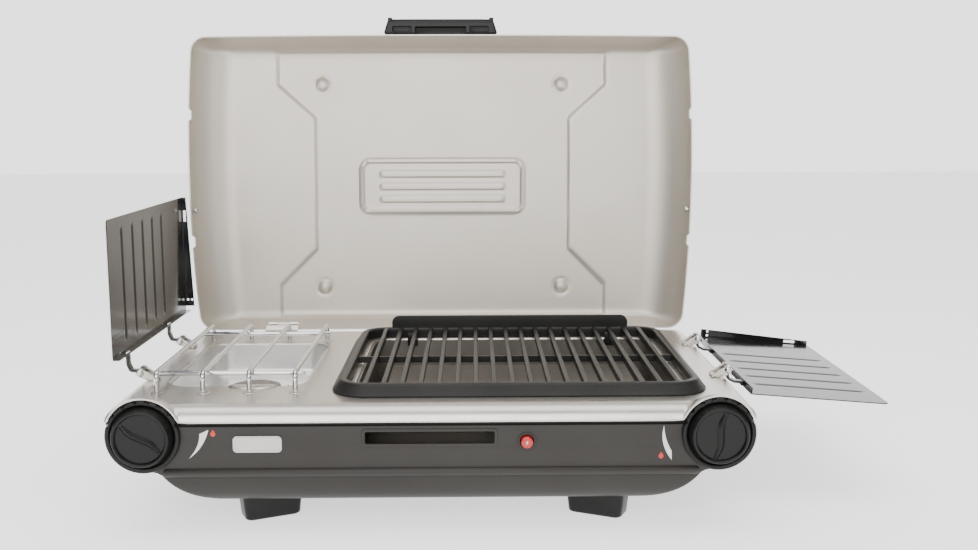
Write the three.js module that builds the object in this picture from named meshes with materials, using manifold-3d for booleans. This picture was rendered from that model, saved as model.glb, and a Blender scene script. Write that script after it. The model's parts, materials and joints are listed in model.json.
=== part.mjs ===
// Folding camp grill: a two-burner gas appliance with a pan burner on the left, a grill on the
// right, a hinged lid and two fold-out windscreens.
// Millimetres, +Z up, X to the right and Y to the back as the cook faces it.
// The origin is the middle of the base pan's flat underside.
import * as THREE from "three";
import { mergeVertices } from "three/addons/utils/BufferGeometryUtils.js";
import Module from "manifold-3d";

const wasm = await Module();
wasm.setup();

// ---------------------------------------------------------------- driving dimensions
const gap = 0.3; // between pieces that rest on each other
const sheet = 1.6; // pressed steel of the deck and lid
const sides = [-1, 1]; // left, right

const deckZ = 98; // top of the deck above the pan's underside
const deckHalfWidth = 307;
const deckShoulder = 15; // radius of the deck's rolled sides
const deckFrontY = -181.5;
const deckFrontRoll = 16.5;
const deckRearY = 180;
const deckRearRoll = 8;
const skirtZ = deckZ - 17; // lower edge of the deck's skirt

const panFrontY = -175.5;
const panTopZ = 84;
const panSheet = 2;
const panUnderZ = 0.8; // the pan's underside outside its pressed middle pad
const padHalf = [110, 90];
const floorZ = -26; // what the feet stand on

const knobX = 271;
const knobZ = 70;
const podRadius = 35.2;
const fasciaFrontY = -179.5;
const fasciaBackY = panFrontY - gap;
const fasciaTopZ = 79;
const fasciaLowZ = 30;
const fasciaHalfX = 258; // the flat strip between the knob pods

const slot = { left: -63, right: 59, low: deckZ - 36.5, high: deckZ - 25 };
const buttonX = 89.6;
const buttonZ = 63;
const buttonRadius = 5.8;

const well = { left: -271, right: -131, front: -98, back: 112, corner: 25, floorZ: 60 };
const basin = { left: -80, right: 250, front: -128, back: 136, corner: 26, floorZ: 36 };
const burnerX = (well.left + well.right) / 2;
const burnerY = (well.front + well.back) / 2;
const pipeZ = 50; // height of the mixing tubes and the gas pipe

const grate = { left: -94, right: 264, front: -142, back: 150, corner: 30, rim: 8, lowZ: deckZ + gap };
const grateTopZ = deckZ + 12;
const grateBars = 18;
const gratePitch = 18.03;
const firstBarX = -66.3;
const guard = { left: -60, right: 228, topZ: deckZ + 26, thick: 3 };

const wire = 2.5; // radius of the pan support's rods
const panBarX = [-272, -226.7, -181.3, -136];
const panBarFrontY = -124;
const panBarBackY = 124;
const panBarZ = deckZ + 20; // axis of the long bars

const lidPivotY = 196.5;
const lidPivotZ = deckZ + 7.5;
const lidOpen = THREE.MathUtils.degToRad(94);
const lidRearY = 203.5; // lid in its closed place: rear rim, rim plane, length and depth
const lidRimZ = deckZ + 1;
const lidLength = 365;
const lidDepth = 55;
const handleReach = 385.1; // from the lid's rear rim to the front of the handle
const latchReach = 388.4;
const latchThrown = THREE.MathUtils.degToRad(182); // the open latch lies back over the handle

const screenPivotX = 303;
const screenPivotZ = deckZ + 8.5;
const screenArmY = [-66, 92];
const screenFrontY = -102;
const screenBackY = 186;
const screenLow = 18.5; // the panel's lower and upper edge above the pivot when it stands upright
const screenHigh = 160;
const screenOffset = 16.8; // from the pivot out to the panel's inner face
const screenSheet = 1.2;
const leftScreenLean = 0;
const rightScreenLean = THREE.MathUtils.degToRad(94.6);

// ---------------------------------------------------------------- materials
function material(color, roughness, metalness) {
  return new THREE.MeshStandardMaterial({ color, roughness, metalness });
}

const finish = {
  champagne: () => material(0xc9c2b6, 0.38, 0.75),
  satinSteel: () => material(0xb9b5ae, 0.32, 0.9),
  fascia: () => material(0x4a4641, 0.55, 0.1),
  enamel: () => material(0x16161a, 0.2, 0.1),
  blackPlastic: () => material(0x1f1e1e, 0.4, 0.0),
  castIron: () => material(0x3f3e3c, 0.5, 0.3),
  chrome: () => material(0xd8d8d8, 0.12, 1.0),
  aluminium: () => material(0xd2d0cc, 0.28, 0.95),
  darkSteel: () => material(0x4d4b48, 0.5, 0.7),
  brass: () => material(0xb08d4a, 0.35, 0.95),
  red: () => material(0xc01818, 0.3, 0.0),
  ceramic: () => material(0xe6e0d4, 0.5, 0.0),
};

// ---------------------------------------------------------------- geometry helpers
function toSolid(geometry) {
  const plain = geometry.clone();
  plain.deleteAttribute("normal");
  plain.deleteAttribute("uv");
  const merged = mergeVertices(plain, 1e-4);
  const index = merged.index.array;
  const kept = [];
  for (let i = 0; i < index.length; i += 3) {
    const [a, b, c] = [index[i], index[i + 1], index[i + 2]];
    if (a !== b && b !== c && c !== a) {
      kept.push(a, b, c);
    }
  }
  const mesh = new wasm.Mesh({
    numProp: 3,
    vertProperties: new Float32Array(merged.attributes.position.array),
    triVerts: new Uint32Array(kept),
  });
  return new wasm.Manifold(mesh);
}

function toGeometry(solid) {
  const mesh = solid.getMesh();
  const geometry = new THREE.BufferGeometry();
  geometry.setAttribute("position", new THREE.BufferAttribute(new Float32Array(mesh.vertProperties), 3));
  geometry.setIndex(new THREE.BufferAttribute(new Uint32Array(mesh.triVerts), 1));
  geometry.computeVertexNormals();
  return geometry;
}

function unite(solids) {
  return solids.reduce((sum, solid) => sum.add(solid));
}

function cut(solid, tools) {
  return tools.reduce((rest, tool) => rest.subtract(tool), solid);
}

// A shape pushed along an axis. Its two coordinates are (y, z) along x, (x, z) along y, (x, y) along z.
function prism(shape, axis, from, to, curveSegments = 3) {
  const depth = to - from;
  const geometry = new THREE.ExtrudeGeometry(shape, { depth, steps: 1, bevelEnabled: false, curveSegments });
  if (axis === "x") {
    const basis = new THREE.Matrix4().makeBasis(
      new THREE.Vector3(0, 1, 0),
      new THREE.Vector3(0, 0, 1),
      new THREE.Vector3(1, 0, 0),
    );
    geometry.applyMatrix4(basis);
    geometry.translate(from, 0, 0);
  } else if (axis === "y") {
    geometry.rotateX(Math.PI / 2);
    geometry.translate(0, to, 0);
  } else {
    geometry.translate(0, 0, from);
  }
  return toSolid(geometry);
}

function outline(points) {
  return new THREE.Shape(points.map(([x, y]) => new THREE.Vector2(x, y)));
}

function roundedRect(left, low, right, high, radius) {
  const shape = new THREE.Shape();
  shape.moveTo(left + radius, low);
  shape.absarc(right - radius, low + radius, radius, -Math.PI / 2, 0);
  shape.absarc(right - radius, high - radius, radius, 0, Math.PI / 2);
  shape.absarc(left + radius, high - radius, radius, Math.PI / 2, Math.PI);
  shape.absarc(left + radius, low + radius, radius, Math.PI, 1.5 * Math.PI);
  return shape;
}

function block(left, right, front, back, low, high) {
  const geometry = new THREE.BoxGeometry(right - left, back - front, high - low);
  geometry.translate((left + right) / 2, (front + back) / 2, (low + high) / 2);
  return toSolid(geometry);
}

// A round bar along an axis; a second radius makes it a cone that ends at `to`.
function rod(axis, centre, from, to, radius, endRadius = radius, segments = 14) {
  const geometry = new THREE.CylinderGeometry(endRadius, radius, to - from, segments);
  geometry.translate(0, (from + to) / 2, 0);
  if (axis === "x") {
    geometry.rotateZ(-Math.PI / 2);
    geometry.translate(0, centre[0], centre[1]);
  } else if (axis === "z") {
    geometry.rotateX(Math.PI / 2);
    geometry.translate(centre[0], centre[1], 0);
  } else {
    geometry.translate(centre[0], 0, centre[1]);
  }
  return toSolid(geometry);
}

// A body of revolution about Z from [radius, height] points that start and end on the axis.
function turned(profile, x, y, segments = 20) {
  const geometry = new THREE.LatheGeometry(
    profile.map(([radius, height]) => new THREE.Vector2(radius, height)),
    segments,
  );
  geometry.rotateX(Math.PI / 2);
  geometry.translate(x, y, 0);
  return toSolid(geometry);
}

// A tube along straight runs joined by round bends: a skin of rings carried along the route.
function bentTube(points, bend, radius, ringSides = 8, bendSteps = 4) {
  const corners = points.map((p) => new THREE.Vector3(...p));
  const stations = [];
  let start = corners[0];
  let heading = null;
  for (let i = 1; i < corners.length; i += 1) {
    heading = corners[i].clone().sub(start).normalize();
    if (i === 1) {
      stations.push([start, heading]);
    }
    if (i === corners.length - 1) {
      stations.push([corners[i], heading]);
      break;
    }
    const out = corners[i + 1].clone().sub(corners[i]).normalize();
    const enter = corners[i].clone().addScaledVector(heading, -bend);
    const leave = corners[i].clone().addScaledVector(out, bend);
    const arc = new THREE.QuadraticBezierCurve3(enter, corners[i], leave);
    for (let k = 0; k <= bendSteps; k += 1) {
      stations.push([arc.getPoint(k / bendSteps), arc.getTangent(k / bendSteps)]);
    }
    start = leave;
  }
  const seed = Math.abs(stations[0][1].z) > 0.9 ? new THREE.Vector3(1, 0, 0) : new THREE.Vector3(0, 0, 1);
  let normal = seed.clone();
  const rings = stations.map(([place, tangent]) => {
    normal = normal.clone().addScaledVector(tangent, -normal.dot(tangent)).normalize();
    const across = tangent.clone().cross(normal);
    const ring = [];
    for (let k = 0; k < ringSides; k += 1) {
      const turn = (2 * Math.PI * (k + 0.5)) / ringSides;
      const point = place.clone();
      point.addScaledVector(normal, radius * Math.cos(turn));
      point.addScaledVector(across, radius * Math.sin(turn));
      ring.push(point.toArray());
    }
    return ring;
  });
  return loft(rings);
}

// A closed skin through rings of equal length, each a list of [x, y, z], capped flat at both ends.
function loft(rings) {
  const count = rings[0].length;
  const positions = rings.flat(2);
  const index = [];
  for (let r = 0; r < rings.length - 1; r += 1) {
    for (let i = 0; i < count; i += 1) {
      const a = r * count + i;
      const b = r * count + ((i + 1) % count);
      index.push(a, b, b + count, a, b + count, a + count);
    }
  }
  const caps = [rings[0], rings[rings.length - 1]];
  caps.forEach((ring, end) => {
    const middle = [0, 1, 2].map((axis) => ring.reduce((sum, p) => sum + p[axis], 0) / count);
    const centre = positions.length / 3;
    positions.push(...middle);
    const first = end === 0 ? 0 : (rings.length - 1) * count;
    for (let i = 0; i < count; i += 1) {
      const a = first + i;
      const b = first + ((i + 1) % count);
      index.push(...(end === 0 ? [centre, b, a] : [centre, a, b]));
    }
  });
  const geometry = new THREE.BufferGeometry();
  geometry.setAttribute("position", new THREE.Float32BufferAttribute(positions, 3));
  geometry.setIndex(index);
  return toSolid(geometry);
}

const grill = new THREE.Group();

function piece(name, solid, look, parent = grill) {
  const mesh = new THREE.Mesh(toGeometry(solid), look());
  mesh.name = name;
  parent.add(mesh);
  return mesh;
}

const sideName = (side) => (side < 0 ? "left" : "right");

// ---------------------------------------------------------------- base pan
// The tub's outline from the front: round shoulders beside the knobs, then a long sweep under.
function panSection(inset) {
  const shape = new THREE.Shape();
  const shoulder = 33.3 - inset;
  const floor = panUnderZ + inset;
  shape.moveTo(knobX + shoulder, panTopZ + 2 * inset);
  shape.lineTo(knobX + shoulder, 68);
  shape.absarc(knobX, 68, shoulder, 0, -Math.PI / 2, true);
  shape.lineTo(257, 31.5 + inset);
  shape.quadraticCurveTo(237 - inset, 3 + inset, 192, floor);
  shape.lineTo(-192, floor);
  shape.quadraticCurveTo(-237 + inset, 3 + inset, -257, 31.5 + inset);
  shape.absarc(-knobX, 68, shoulder, -Math.PI / 2, -Math.PI, true);
  shape.lineTo(-knobX - shoulder, panTopZ + 2 * inset);
  return shape;
}

function panProfile(inset) {
  const radius = 22 - inset;
  const reach = -panFrontY - inset;
  const shape = new THREE.Shape();
  shape.moveTo(-reach, panTopZ + 2 * inset);
  const turnZ = panUnderZ + inset + radius;
  shape.lineTo(-reach, turnZ);
  shape.absarc(-reach + radius, turnZ, radius, Math.PI, 1.5 * Math.PI);
  shape.absarc(reach - radius, turnZ, radius, 1.5 * Math.PI, 2 * Math.PI);
  shape.lineTo(reach, panTopZ + 2 * inset);
  return shape;
}

function panSolid(inset) {
  const acrossFront = prism(panSection(inset), "y", -200, 200, 5);
  return acrossFront.intersect(prism(panProfile(inset), "x", -320, 320, 4));
}

const inletX = 281;
const inletZ = 55;
{
  const slotCut = block(slot.left - 2, slot.right + 2, panFrontY - 5, panFrontY + 5, slot.low - 2, slot.high + 2);
  const stemHoles = sides.map((side) => rod("y", [side * knobX, knobZ], panFrontY - 5, panFrontY + 5, 7));
  const buttonHole = rod("y", [buttonX, buttonZ], panFrontY - 5, panFrontY + 5, 8);
  const inletHole = rod("y", [inletX, inletZ], -panFrontY - 5, -panFrontY + 5, 6.5);
  const pad = block(-padHalf[0], padHalf[0], -padHalf[1], padHalf[1], 0, panUnderZ + 1);
  const tub = panSolid(0).subtract(panSolid(panSheet)).add(pad);
  piece("base_pan", cut(tub, [slotCut, ...stemHoles, buttonHole, inletHole]), finish.fascia);
}

// Four moulded feet, turned a little in plan and tapered towards the floor.
{
  const footWidth = 60;
  const footDepth = 28;
  const footTaper = 0.92;
  for (const [rowName, row] of [["front", -1], ["rear", 1]]) {
    for (const side of sides) {
      const shape = roundedRect(-footWidth / 2, -footDepth / 2, footWidth / 2, footDepth / 2, 6);
      const geometry = new THREE.ExtrudeGeometry(shape, {
        depth: panUnderZ - floorZ - gap,
        steps: 1,
        bevelEnabled: false,
        curveSegments: 4,
      });
      geometry.translate(0, 0, floorZ);
      const places = geometry.attributes.position;
      for (let i = 0; i < places.count; i += 1) {
        if (places.getZ(i) < floorZ + 1) {
          places.setXY(i, places.getX(i) * footTaper, places.getY(i) * footTaper);
        }
      }
      const mesh = piece(`foot_${rowName}_${sideName(side)}`, toSolid(geometry), finish.blackPlastic);
      mesh.position.set(side * 163, row * 127, 0);
      mesh.rotation.z = -row * side * THREE.MathUtils.degToRad(25);
    }
  }
}

// ---------------------------------------------------------------- deck
function deckSection(inset) {
  const halfWidth = deckHalfWidth - inset;
  const radius = deckShoulder - inset;
  const low = skirtZ - 3 * inset;
  const shape = new THREE.Shape();
  shape.moveTo(-halfWidth, low);
  shape.lineTo(halfWidth, low);
  shape.absarc(halfWidth - radius, deckZ - deckShoulder, radius, 0, Math.PI / 2);
  shape.absarc(-halfWidth + radius, deckZ - deckShoulder, radius, Math.PI / 2, Math.PI);
  return shape;
}

function deckProfile(inset) {
  const front = deckFrontRoll - inset;
  const rear = deckRearRoll - inset;
  const low = skirtZ - 3 * inset;
  const shape = new THREE.Shape();
  shape.moveTo(deckFrontY + inset, low);
  shape.lineTo(deckRearY - inset, low);
  shape.absarc(deckRearY - deckRearRoll, deckZ - deckRearRoll, rear, 0, Math.PI / 2);
  shape.absarc(deckFrontY + deckFrontRoll, deckZ - deckFrontRoll, front, Math.PI / 2, Math.PI);
  return shape;
}

function deckSolid(inset) {
  const across = prism(deckSection(inset), "y", -200, 200);
  return across.intersect(prism(deckProfile(inset), "x", -320, 320));
}

// The hood over a knob pod: a round cover that fades into the deck as a cone behind the knob.
function podHood(side, inset) {
  const radius = podRadius + 2 - inset;
  const fadedRadius = deckZ - knobZ + 0.2 - inset;
  const centre = [side * knobX, knobZ];
  const cover = rod("y", centre, deckFrontY - 0.5, fasciaBackY + gap, radius, radius, 32);
  return cover.add(rod("y", centre, fasciaBackY + gap, -162.5, radius, fadedRadius, 32));
}

{
  const aboveSkirt = block(-330, 330, -200, 200, skirtZ, deckZ + 30);
  const hoods = sides.map((side) => podHood(side, 0));
  const hollows = sides.map((side) => podHood(side, sheet));
  const mouths = sides.map((side) => rod("y", [side * knobX, knobZ], -190, -180, podRadius + 0.4, podRadius + 0.4, 32));
  const openings = [
    prism(roundedRect(well.left, well.front, well.right, well.back, well.corner), "z", 60, 120),
    prism(roundedRect(basin.left, basin.front, basin.right, basin.back, basin.corner), "z", 60, 120),
  ];
  const shell = cut(unite([deckSolid(0), ...hoods]).intersect(aboveSkirt), [deckSolid(sheet), ...hollows]);
  const swell = new THREE.Shape();
  swell.absellipse(-182.5, well.front, 25, 12, Math.PI, 2 * Math.PI);
  const venturiBump = prism(swell, "z", deckZ - 1, deckZ + 2.2);
  piece("top_deck", cut(shell, [...mouths, ...openings]).add(venturiBump), finish.satinSteel);
}

// A tray with a flange that is held under the deck.
function tray(hole, flange, thick) {
  const top = deckZ - sheet - gap;
  const walls = roundedRect(hole.left, hole.front, hole.right, hole.back, hole.corner);
  const inner = roundedRect(
    hole.left + thick,
    hole.front + thick,
    hole.right - thick,
    hole.back - thick,
    hole.corner - thick,
  );
  const rim = roundedRect(
    hole.left - flange,
    hole.front - flange,
    hole.right + flange,
    hole.back + flange,
    hole.corner + flange,
  );
  const body = prism(walls, "z", hole.floorZ - thick, top).add(prism(rim, "z", top - thick, top));
  return body.subtract(prism(inner, "z", hole.floorZ, top + 5));
}

piece(
  "stove_well",
  tray(well, 6, 1.5).subtract(rod("z", [burnerX, burnerY], well.floorZ - 5, well.floorZ + 5, 10)),
  finish.aluminium,
);

const burnerLead = { x: 266, y: -55 };
piece(
  "grill_basin",
  tray(basin, 5, 1.5).subtract(rod("x", [burnerLead.y, pipeZ], 240, 260, 8.5)),
  finish.darkSteel,
);

// ---------------------------------------------------------------- fascia, pods and badge
{
  const plate = prism(roundedRect(-fasciaHalfX, fasciaLowZ, fasciaHalfX, fasciaTopZ, 4), "y", fasciaFrontY, fasciaBackY);
  const pods = sides.map((side) =>
    rod("y", [side * knobX, knobZ], fasciaFrontY, fasciaBackY, podRadius, podRadius, 32),
  );
  const bead = rod("x", [fasciaFrontY + 1, fasciaLowZ + 4.3], -253, 253, 4.3, 4.3, 16);
  const behind = block(-320, 320, fasciaBackY, -160, 0, 120);
  const slotCut = block(slot.left, slot.right, -190, -170, slot.low, slot.high);
  const stemHoles = sides.map((side) => rod("y", [side * knobX, knobZ], -190, -170, 5.5));
  const buttonHole = rod("y", [buttonX, buttonZ], -190, -170, buttonRadius + 0.5, buttonRadius + 0.5, 24);
  const front = unite([plate, ...pods, bead]);
  piece("front_fascia", cut(front, [behind, slotCut, ...stemHoles, buttonHole]), finish.fascia);
}

const bezelBackY = fasciaFrontY - gap;
const bezelFrontY = bezelBackY - 4.2;
for (const side of sides) {
  const ring = rod("y", [side * knobX, knobZ], bezelFrontY, bezelBackY, podRadius - 0.2, podRadius - 0.2, 32);
  const bore = rod("y", [side * knobX, knobZ], -190, -170, 30.6, 30.6, 32);
  const notches = [];
  for (let i = 0; i < 8; i += 1) {
    const turn = THREE.MathUtils.degToRad(20 + 20 * i);
    const notch = new THREE.BoxGeometry(4, 2, 6);
    notch.translate(podRadius, bezelFrontY, 0);
    notch.rotateY(-turn);
    notch.translate(side * knobX, 0, knobZ);
    notches.push(toSolid(notch));
  }
  piece(`knob_bezel_${sideName(side)}`, cut(ring, [bore, ...notches]), finish.blackPlastic);
}

piece(
  "name_plate",
  prism(roundedRect(-187, 54, -141, 70, 4), "y", fasciaFrontY - gap - 0.8, fasciaFrontY - gap),
  finish.satinSteel,
);

// ---------------------------------------------------------------- knobs and igniter
const knobBackY = bezelBackY - 0.4;
const knobDepth = 11.8;
function knob(side, ridgeAngle) {
  const recess = 6;
  const profile = [
    [0, 0], [29.8, 0], [29.8, 2], [28.2, 6], [26.2, knobDepth], [24.9, knobDepth], [23.8, 10], [22, recess + 0.4],
    [0, recess],
  ];
  const lathe = new THREE.LatheGeometry(profile.map(([r, d]) => new THREE.Vector2(r, d)), 30);
  const ridge = new THREE.Shape();
  ridge.moveTo(-23, -1.2);
  ridge.quadraticCurveTo(0, -7, 23, -1.2);
  ridge.lineTo(23, 2);
  ridge.quadraticCurveTo(0, -2.4, -23, 2);
  const blade = new THREE.ExtrudeGeometry(ridge, { depth: 5.6, bevelEnabled: false, curveSegments: 5 });
  blade.rotateX(-Math.PI / 2);
  blade.translate(0, recess - 0.5, 0);
  const socket = new THREE.CylinderGeometry(4.5, 4.5, 10, 20);
  const body = toSolid(lathe).add(toSolid(blade)).subtract(toSolid(socket));
  const mesh = piece(`knob_${sideName(side)}`, body, finish.blackPlastic);
  mesh.rotation.order = "YXZ";
  mesh.rotation.set(Math.PI, -ridgeAngle, 0);
  mesh.position.set(side * knobX, knobBackY, knobZ);
}
knob(-1, THREE.MathUtils.degToRad(-38));
knob(1, THREE.MathUtils.degToRad(76));

piece(
  "igniter_button",
  rod("y", [buttonX, buttonZ], -184.5, -175.8, buttonRadius, buttonRadius, 24),
  finish.red,
);
piece("igniter_body", rod("y", [buttonX, buttonZ], -170, -140, 7.5), finish.blackPlastic);

// ---------------------------------------------------------------- gas system
for (const side of sides) {
  const body = block(side * knobX - 9, side * knobX + 9, -171, -148, knobZ - 9, knobZ + 9);
  const stem = rod("y", [side * knobX, knobZ], -184.4, -160, 4, 4, 16);
  piece(`valve_${sideName(side)}`, body.add(stem), finish.brass);
}

const manifoldY = -163;
piece(
  "gas_manifold",
  bentTube(
    [[inletX, 168, pipeZ - 2], [inletX, manifoldY, pipeZ - 2], [-knobX, manifoldY, pipeZ - 2]],
    14,
    3.5,
  ),
  finish.brass,
);
{
  const nut = rod("y", [inletX, inletZ], -panFrontY + gap, -panFrontY + 8, 11, 11, 6);
  const barrel = rod("y", [inletX, inletZ], 170, -panFrontY + 14, 6);
  piece("gas_inlet", nut.add(barrel), finish.brass);
}

const tubeRadius = 6.5;
const tubeTopZ = well.floorZ - 2;
piece(
  "stove_mixing_tube",
  bentTube([[-262, -146, pipeZ], [-262, burnerY, pipeZ], [burnerX + 4, burnerY, pipeZ]], 16, tubeRadius).add(
    rod("z", [burnerX, burnerY], pipeZ, tubeTopZ, tubeRadius),
  ),
  finish.aluminium,
);
{
  const fromFloor = (profile) => profile.map(([radius, height]) => [radius, well.floorZ + height]);
  const body = [[0, gap - 2], [9.4, gap - 2], [9.4, gap], [16, 3], [27, 6], [27, 9], [22, 9], [20, 7], [0, 7]];
  const cap = [[0, 7 + gap], [19, 7 + gap], [21, 9 + gap], [28, 9 + gap], [28, 12], [22, 14], [0, 14]];
  const electrode = [[0, gap], [3, gap], [3, 9], [0.8, 9], [0.8, 13], [0, 13]];
  piece("stove_burner", turned(fromFloor(body), burnerX, burnerY), finish.aluminium);
  piece("stove_burner_cap", turned(fromFloor(cap), burnerX, burnerY), finish.darkSteel);
  piece("stove_electrode", turned(fromFloor(electrode), burnerX + 36, burnerY, 12), finish.ceramic);
}
piece(
  "grill_burner",
  bentTube(
    [[burnerLead.x, -146, pipeZ], [burnerLead.x, burnerLead.y, pipeZ], [-40, burnerLead.y, pipeZ],
      [-40, 62, pipeZ], [225, 62, pipeZ]],
    13,
    6.5,
  ),
  finish.aluminium,
);
{
  const left = -62;
  const right = 232;
  const plate = block(left, right, -100, 108, 70, 71.5);
  const folds = [block(left, right, -100, -98.5, 60, 71.5), block(left, right, 106.5, 108, 60, 71.5)];
  const legs = [[left, -100], [right - 12, -100], [left, 106.5], [right - 12, 106.5]].map(([x, y]) =>
    block(x, x + 12, y, y + 1.5, basin.floorZ + gap, 62),
  );
  piece("heat_plate", unite([plate, ...folds, ...legs]), finish.darkSteel);
}

// ---------------------------------------------------------------- cooking surfaces
{
  const outer = roundedRect(grate.left, grate.front, grate.right, grate.back, grate.corner);
  const hole = roundedRect(
    grate.left + grate.rim,
    grate.front + grate.rim,
    grate.right - grate.rim,
    grate.back - grate.rim,
    grate.corner - grate.rim,
  );
  const rim = prism(outer, "z", grate.lowZ, grateTopZ).subtract(prism(hole, "z", 90, 120));
  const bars = [];
  for (let i = 0; i < grateBars; i += 1) {
    const x = firstBarX + i * gratePitch;
    const blade = outline([[x - 1.5, grate.lowZ + 2], [x + 1.5, grate.lowZ + 2], [x + 2.6, grateTopZ - 1],
      [x + 1.6, grateTopZ], [x - 1.6, grateTopZ], [x - 2.6, grateTopZ - 1]]);
    bars.push(prism(blade, "y", grate.front + grate.rim - 1, grate.back - grate.rim + 1));
  }
  const crossRib = block(grate.left + 4, grate.right - 4, -2, 2, grate.lowZ + 1, grateTopZ - 4);
  const wallShape = roundedRect(guard.left, grateTopZ - 20, guard.right, guard.topZ, 9);
  const wall = prism(wallShape, "y", grate.back - guard.thick, grate.back);
  const keep = block(guard.left, guard.right, grate.back - 9, grate.back, grate.lowZ, guard.topZ);
  const lugs = [];
  for (const x of [basin.left + 40, basin.right - 52]) {
    for (const y of [basin.front + 3.5, basin.back - 7]) {
      lugs.push(block(x, x + 12, y, y + 3, deckZ - 8, grateTopZ - 4));
    }
  }
  piece("grill_grate", unite([rim, ...bars, crossRib, wall.intersect(keep), ...lugs]), finish.castIron);
}

{
  const footZ = deckZ + gap;
  const bars = panBarX.map((x) =>
    bentTube(
      [[x, panBarFrontY, footZ], [x, panBarFrontY, panBarZ], [x, panBarBackY, panBarZ], [x, panBarBackY, footZ]],
      7,
      wire,
    ),
  );
  const rodZ = panBarZ - 2 * wire + 0.6;
  const rods = [-107, 92].map((y) => rod("x", [y, rodZ], panBarX[0] - 4, panBarX[3] + 8, wire, wire, 12));
  piece("pan_support", unite([...bars, ...rods]), finish.chrome);
}

// ---------------------------------------------------------------- windscreens
// Each screen is drawn upright about its pivot, then leaned outwards to where it stands.
function windscreen(side, lean) {
  const name = sideName(side);
  const holder = new THREE.Group();
  holder.position.set(side * screenPivotX, 0, screenPivotZ);
  holder.rotation.y = side * lean;
  grill.add(holder);

  const out = (x) => side * x;
  const between = (a, b, front, back, low, high) =>
    block(Math.min(out(a), out(b)), Math.max(out(a), out(b)), front, back, low, high);
  const inner = screenOffset;
  const outer = screenOffset + screenSheet;
  const sheetPanel = between(inner, outer, screenFrontY, screenBackY, screenLow, screenHigh);
  const foot = between(inner - 6, outer, screenFrontY, screenBackY, screenLow, screenLow + screenSheet);
  const flangeShape = outline(
    [[inner - 10.6, screenLow + 6], [outer, screenLow + 6], [outer, screenHigh], [inner - 4.9, screenHigh]]
      .map(([x, z]) => [out(x), z]),
  );
  const flange = prism(flangeShape, "y", screenBackY - screenSheet, screenBackY);
  const ribs = [-58, -21, 16, 53, 90].map((y) =>
    between(outer - 0.2, outer + 1, y - 2.5, y + 2.5, screenLow + 14, screenHigh - 12),
  );
  const slotBack = screenBackY + 2;
  const slotFront = screenBackY - 4;
  const tools = [
    between(inner - 4.4, inner - 1.2, slotFront, slotBack, screenHigh - 30, screenHigh - 16),
    ...[inner - 3, inner - 8].map((x) =>
      rod("y", [out(x), screenLow + 14], slotFront, slotBack, 1.6, 1.6, 12),
    ),
  ];
  const panel = cut(unite([sheetPanel, foot, flange, ...ribs]), tools);
  piece(`screen_${name}`, panel, finish.enamel, holder);

  const armSheet = 2.4;
  const armTop = screenLow - gap - armSheet / 2;
  const armCourse = [[0, 0], [10.4, 1.2], [13.2, 8], [13.2, armTop], [screenOffset, armTop]];
  for (const [rowName, y] of [["front", screenArmY[0]], ["rear", screenArmY[1]]]) {
    const halfWidth = 5;
    const strips = [];
    for (let i = 0; i < armCourse.length - 1; i += 1) {
      const [ax, az] = armCourse[i];
      const [bx, bz] = armCourse[i + 1];
      const length = Math.hypot(bx - ax, bz - az);
      const nx = (-(bz - az) / length) * (armSheet / 2);
      const nz = ((bx - ax) / length) * (armSheet / 2);
      const shape = outline(
        [[ax + nx, az + nz], [ax - nx, az - nz], [bx - nx, bz - nz], [bx + nx, bz + nz]].map(([x, z]) => [out(x), z]),
      );
      strips.push(prism(shape, "y", y - halfWidth, y + halfWidth));
    }
    const elbows = armCourse.slice(1, -1).map(([x, z]) =>
      rod("y", [out(x), z], y - halfWidth, y + halfWidth, armSheet / 2, armSheet / 2, 12),
    );
    const knuckle = rod("y", [0, 0], y - halfWidth, y + halfWidth, 4.4);
    const bore = rod("y", [0, 0], y - 10, y + 10, 2.9);
    piece(`arm_${name}_${rowName}`, unite([...strips, ...elbows, knuckle]).subtract(bore), finish.enamel, holder);
  }
}
windscreen(-1, leftScreenLean);
windscreen(1, rightScreenLean);

// Fixed clevises on the deck's edge, each with its pivot bolt.
for (const side of sides) {
  for (const [rowName, y] of [["front", screenArmY[0]], ["rear", screenArmY[1]]]) {
    const name = `${sideName(side)}_${rowName}`;
    const low = deckZ + gap;
    const inboard = side * (screenPivotX - 17);
    const edge = side * (screenPivotX - 11);
    const foot = block(Math.min(inboard, edge), Math.max(inboard, edge), y - 8.4, y + 8.4, low, low + 2);
    const cheek = outline([
      [side * (screenPivotX - 17), low],
      [side * (screenPivotX - 9), low],
      [side * (screenPivotX + 1), low + 4],
      [side * (screenPivotX - 2), low + 12.4],
    ]);
    const ears = [[y - 8.4, y - 5.4], [y + 5.4, y + 8.4]].map(([from, to]) =>
      prism(cheek, "y", from, to).add(rod("y", [side * screenPivotX, screenPivotZ], from, to, 4.6)),
    );
    const bore = rod("y", [side * screenPivotX, screenPivotZ], y - 12, y + 12, 2.9);
    piece(`screen_bracket_${name}`, unite([foot, ...ears]).subtract(bore), finish.satinSteel);
    const shank = rod("y", [side * screenPivotX, screenPivotZ], y - 10, y + 12, 2.5, 2.5, 16);
    const head = rod("y", [side * screenPivotX, screenPivotZ], y - 11.6, y - 8.4 - gap, 4, 4, 16);
    const nut = rod("y", [side * screenPivotX, screenPivotZ], y + 8.4 + gap, y + 11.4, 4, 4, 6);
    piece(`screen_bolt_${name}`, unite([shank, head, nut]), finish.chrome);
  }
}

// ---------------------------------------------------------------- lid
// The lid is drawn closed, over the deck, and swung open about its hinge pins.
const lid = new THREE.Group();
const lidBody = new THREE.Group();
lid.position.set(0, lidPivotY, lidPivotZ);
lid.rotation.x = -lidOpen;
lidBody.position.set(0, -lidPivotY, -lidPivotZ);
lid.add(lidBody);
grill.add(lid);

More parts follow.
